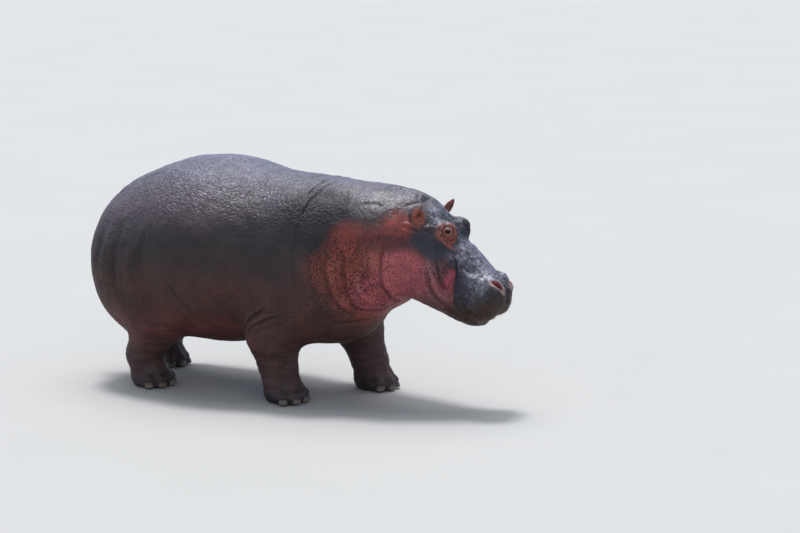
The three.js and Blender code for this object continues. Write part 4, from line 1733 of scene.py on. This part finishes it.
@dataclass
class Eyeball:
    """One eye: a ball with the clear front bulging from it."""

    setting: EyeSetting
    segments: int = 48
    rings: int = 32
    bulge: float = 0.0016
    groove: float = 0.0003

    def build(self) -> bpy.types.Object:
        """Makes the eyeball in its socket.

        Returns:
            The eyeball.
        """
        setting = self.setting
        bpy.ops.object.select_all(action="DESELECT")
        bpy.ops.mesh.primitive_uv_sphere_add(
            segments=self.segments, ring_count=self.rings, radius=setting.radius
        )
        piece = bpy.context.view_layer.objects.active
        piece.name = piece.data.name = f"eyeball_{setting.side}"
        points = points_of(piece)
        off = np.arccos(np.clip(points[:, 2] / setting.radius, -1, 1))
        rise = self.bulge * (1 - ease(off, 0.30, 0.72)) - self.groove * bell(off - 0.70, 0.10)
        points += unit(points) * rise[:, None]
        across = unit(np.cross(setting.gaze, (0.0, 0.0, 1.0)))
        turned = np.array((across, np.cross(setting.gaze, across), setting.gaze))
        move_points(piece, points @ turned + setting.centre)
        only(piece)
        bpy.ops.object.shade_smooth()
        piece.data.materials.append(EyeFinish(setting).material())
        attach(piece, "root")
        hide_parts(f"eye_{setting.side}")
        return piece


@dataclass
class Nails:
    """The sixteen broad hoof-like nails, modelled once and set on each toe."""

    thick: float = 0.021
    half_wide: float = 0.028
    half_high: float = 0.0265
    segments: int = 40
    rings: int = 26

    def build(self) -> list[bpy.types.Object]:
        """Makes every nail.

        Returns:
            The nails.
        """
        pattern = self.pattern()
        finish = NailFinish().material()
        shape = points_of(pattern)
        nails = []
        for node in sorted(name for name in frame["nodes"] if name.startswith("nail_")):
            foot = centre_of("foot_" + "_".join(node.split("_")[1:3]))
            place = centre_of(node)
            out = unit((place - foot) * np.array((1, 1, 0)))
            across = np.array((-out[1], out[0], 0.0))
            nail = pattern.copy()
            nail.data = pattern.data.copy()
            nail.name = nail.data.name = "hoof" + node.removeprefix("nail")
            bpy.context.collection.objects.link(nail)
            move_points(nail, shape @ np.array((out, across, (0, 0, 1))) + place)
            nail.data.materials.append(finish)
            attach(nail, "root")
            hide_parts(node)
            nails.append(nail)
        bpy.data.objects.remove(pattern)
        return nails

    def pattern(self) -> bpy.types.Object:
        """Models one nail at the origin, facing along X.

        Returns:
            The nail that the others copy.
        """
        bpy.ops.object.select_all(action="DESELECT")
        bpy.ops.mesh.primitive_uv_sphere_add(segments=self.segments, ring_count=self.rings, radius=1)
        piece = bpy.context.view_layer.objects.active
        points = points_of(piece)
        x, y, z = points.T
        low = ease(-z, -0.2, 0.9)
        x = np.where(x > 0, np.abs(x) ** 0.60, x)
        x = x * (0.92 + 0.16 * low) + 0.03 * np.cos(9 * y) * (x > 0)
        y = np.sign(y) * np.abs(y) ** 0.72 * (0.90 + 0.14 * low)
        z = np.where(z < -0.70, -0.70 + 0.35 * (z + 0.70), z)
        x = x - 0.55 * ease(z, -0.35, 0.95) + 0.05 * bell(z - 0.45, 0.12) * (x > 0)
        move_points(piece, np.column_stack((x * self.thick, y * self.half_wide, z * self.half_high)))
        only(piece)
        bpy.ops.object.shade_smooth()
        return piece


@dataclass
class Tuft:
    """A patch of single bristles on the skin."""

    name: str
    count: int
    length: tuple[float, float]
    thick: float
    lean: Triple
    seed: int


@dataclass
class Bristles:
    """The few stiff bristles on the muzzle, round the ears and at the tail's end."""

    skin: bpy.types.Object
    rings: int = 4
    corners: int = 5
    root: float = 0.0015
    sweep: float = 0.22
    taper: float = 0.86
    patch: float = 0.003

    def build(self) -> list[bpy.types.Object]:
        """Makes each tuft of bristles.

        Returns:
            The tufts.
        """
        points, normals = points_of(self.skin), normals_of(self.skin)
        local = HEAD.local(points)
        finish = BristleFinish().material()
        lips = (local[:, 0] > 0.34) & (np.abs(local[:, 1]) > 0.03)
        lips &= (local[:, 2] < -0.10) & (local[:, 2] > -0.29) & (normals @ HEAD.axes[2] < 0.55)
        chin = (local[:, 0] > 0.26) & (local[:, 2] < -0.30)
        ears = np.zeros(len(points), bool)
        for side in SIDES:
            low, high = corners_of(f"ear_{side}")
            middle = (low + high) / 2
            out = points - middle
            inside = np.all((points > low - 0.004) & (points < high + 0.004), axis=1)
            ears |= inside & (np.sum(unit(out) * normals, axis=1) > 0.75) & (points[:, 2] > middle[2] - 0.01)
        low, high = corners_of("tail")
        tail = np.all((points > low - 0.004) & (points < high + 0.004), axis=1)
        tail &= points[:, 2] < low[2] + 0.40 * (high[2] - low[2])
        sets = (
            (Tuft("bristles_lips", 340, (0.006, 0.018), 0.00045, (0.0, 0.0, -0.5), 71), lips),
            (Tuft("bristles_chin", 70, (0.005, 0.012), 0.00040, (0.0, 0.0, -0.3), 72), chin),
            (Tuft("bristles_ears", 340, (0.005, 0.013), 0.00035, (0.0, 0.0, 0.5), 73), ears),
            (Tuft("bristles_tail", 260, (0.020, 0.045), 0.00060, (0.0, 0.0, -1.6), 74), tail),
        )
        return [self.grow(tuft, points[area], normals[area], finish) for tuft, area in sets if area.any()]

    def grow(self, tuft: Tuft, roots: Points, facing: Points, finish: bpy.types.Material) -> bpy.types.Object:
        """Makes one tuft.

        Args:
            tuft: What its bristles are like.
            roots: The skin points that it may grow from.
            facing: Their normals.
            finish: The bristles' material.

        Returns:
            The tuft.
        """
        chance = np.random.default_rng(tuft.seed)
        count = min(tuft.count, len(roots))
        picks = chance.choice(len(roots), count, replace=False)
        start, normal = roots[picks], facing[picks]
        aim = unit(normal + np.array(tuft.lean) + chance.normal(0, 0.28, (count, 3)))
        length = chance.uniform(*tuft.length, count)
        across = unit(np.cross(aim, chance.normal(0, 1, (count, 3))))
        upright = np.cross(aim, across)
        sweep = unit(np.array(tuft.lean) + chance.normal(0, 0.4, (count, 3)))
        verts = []
        for ring in range(self.rings + 1):
            part = ring / self.rings
            spine = start - self.root * normal + aim * (length * part)[:, None]
            spine = spine + sweep * (self.sweep * length * part ** 2)[:, None]
            wide = tuft.thick * (1 - self.taper * part)
            for corner in range(self.corners):
                turn = 2 * math.pi * corner / self.corners
                verts.append(spine + wide * (math.cos(turn) * across + math.sin(turn) * upright))
        stack = np.stack(verts, axis=1)
        each = stack.shape[1]
        faces = []
        for ring in range(self.rings):
            for corner in range(self.corners):
                a = ring * self.corners + corner
                b = ring * self.corners + (corner + 1) % self.corners
                faces.append((a, b, b + self.corners, a + self.corners))
        last = self.rings * self.corners
        caps = [tuple(range(self.corners - 1, -1, -1)), tuple(range(last, last + self.corners))]
        every = [
            tuple(index * each + corner for corner in face) for index in range(count) for face in faces + caps
        ]
        mesh = bpy.data.meshes.new(tuft.name)
        mesh.from_pydata(stack.reshape(-1, 3).tolist(), [], every)
        piece = bpy.data.objects.new(tuft.name, mesh)
        bpy.context.collection.objects.link(piece)
        self.unwrap(mesh, start, each)
        mesh.materials.append(finish)
        only(piece)
        bpy.ops.object.shade_smooth()
        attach(piece, "root")
        return piece

    def unwrap(self, mesh: bpy.types.Mesh, roots: Points, each: int) -> None:
        """Gives each bristle a small patch at its root's place on a rolled-out map of the skin.

        Args:
            mesh: The tuft's mesh.
            roots: Where each bristle starts.
            each: How many vertices a bristle has.
        """
        low, high = (np.array(corner) for corner in CAD_BOX)
        middle = (low + high) / 2
        turn = np.arctan2(roots[:, 2] - middle[2], roots[:, 1] - middle[1]) / (2 * math.pi) + 0.5
        along = (roots[:, 0] - low[0]) / (high[0] - low[0])
        layer = mesh.uv_layers.new(name="OFBake")
        vertex = np.empty(len(mesh.loops), np.int32)
        mesh.loops.foreach_get("vertex_index", vertex)
        bristle, spot = vertex // each, vertex % each
        ring, corner = spot // self.corners, spot % self.corners
        uv = np.column_stack((
            0.01 + 0.97 * along[bristle] + self.patch * ring / self.rings,
            0.01 + 0.97 * turn[bristle] + self.patch * corner / self.corners,
        ))
        layer.data.foreach_set("uv", uv.astype(np.float32).ravel())


# ---------------------------------------------------------------- the studio


@dataclass
class Studio:
    """A plain pale floor, soft light from above, and the camera."""

    around: float = 30.0
    above: float = 9.5
    distance: float = 18.0
    lens: float = 133.65
    aim_from_eyes: Triple = (-0.6465, 0.4703, -0.344)
    floor_half: float = 70.0
    far_end: float = 400.0
    lamps: tuple[tuple[str, Triple, float, float, Triple], ...] = (
        ("overhead", (-1.2, 1.6, 6.0), 50.0, 1.5, (1.0, 0.99, 0.97)),
        ("key", (-1.0, 0.9, 5.0), 12.0, 2.0, (0.97, 0.98, 1.0)),
        ("front", (4.0, -5.0, 3.0), 50.0, 0.42, (1.0, 0.95, 0.90)),
    )

    def build(self) -> None:
        """Sets the floor, the lights and the camera."""
        self.floor()
        self.sky()
        for lamp in self.lamps:
            self.lamp(*lamp)
        self.camera()

    def floor(self) -> None:
        """Lays the floor."""
        bpy.ops.object.select_all(action="DESELECT")
        bpy.ops.mesh.primitive_grid_add(x_subdivisions=4, y_subdivisions=4, size=2 * self.floor_half)
        piece = bpy.context.view_layer.objects.active
        piece.name = "floor"
        material, net, shader = new_material("studio_floor")
        tone = net.mix(net.noise(net.place(), 0.8, 3.0), (0.50, 0.49, 0.475, 1.0), (0.54, 0.53, 0.515, 1.0))
        net.feed(shader, {"Base Color": tone, "Roughness": 0.85})
        piece.data.materials.append(material)

    def sky(self) -> None:
        """Lights the room evenly, a little more from overhead."""
        world = bpy.data.worlds.new("studio")
        bpy.context.scene.world = world
        world.use_nodes = True
        net = Wiring(world.node_tree)
        height = net.add("SeparateXYZ", {0: net.add("TexCoord", output="Generated")}, "Z")
        shade = net.mix(net.remap(height, 0.0, 0.8), (0.36, 0.47, 0.68, 1.0), (0.74, 0.86, 1.0, 1.0))
        shine = net.add("LightPath", output="Is Glossy Ray")
        seen = net.add("LightPath", output="Is Camera Ray")
        net.feed(world.node_tree.nodes["Background"], {
            "Color": net.mix(seen, shade, (0.76, 0.79, 0.82, 1.0)),
            "Strength": net.math("MAXIMUM", net.remap(shine, 0.0, 1.0, 0.44, 1.1), seen),
        })

    def lamp(self, name: str, place: Triple, spread: float, power: float, tint: Triple) -> None:
        """Sets one broad, soft, far-off lamp.

        Args:
            name: The lamp's name.
            place: The direction it shines from.
            spread: How many degrees wide it is, as seen from the floor.
            power: Its strength.
            tint: Its colour.
        """
        light = bpy.data.lights.new(name, "SUN")
        light.angle = math.radians(spread)
        light.energy = power
        light.color = tint
        lamp = bpy.data.objects.new(name, light)
        lamp.location = place
        lamp.rotation_euler = Vector(place).to_track_quat("Z", "Y").to_euler()
        bpy.context.collection.objects.link(lamp)

    def camera(self) -> None:
        """Sets the camera, level and far off, a little above the floor."""
        around, above = math.radians(self.around), math.radians(self.above)
        back = Vector((
            math.sin(around) * math.cos(above), -math.cos(around) * math.cos(above), math.sin(above)
        ))
        view = bpy.data.cameras.new("camera")
        view.lens = self.lens
        view.sensor_width = 36.0
        view.clip_end = self.far_end
        camera = bpy.data.objects.new("camera", view)
        target = Vector(HEAD.origin) + Vector(self.aim_from_eyes)
        turned = back.to_track_quat("Z", "Y").to_matrix().to_4x4()
        camera.matrix_world = Matrix.Translation(target + self.distance * back) @ turned
        bpy.context.collection.objects.link(camera)
        bpy.context.scene.camera = camera


def main() -> None:
    """Builds the hippopotamus and its studio."""
    logging.basicConfig(level=logging.INFO, format="%(name)s: %(message)s")
    Studio().build()
    bpy.context.scene.view_settings.view_transform = "Standard"
    skin = Skin().build()
    pieces = [skin]
    pieces += [Eyeball(setting).build() for setting in EYES]
    pieces += Nails().build()
    pieces += Bristles(skin).build()
    for piece in pieces:
        LOG.info("%s: %d faces", piece.name, len(piece.data.polygons))


if __name__ == "__main__":
    main()
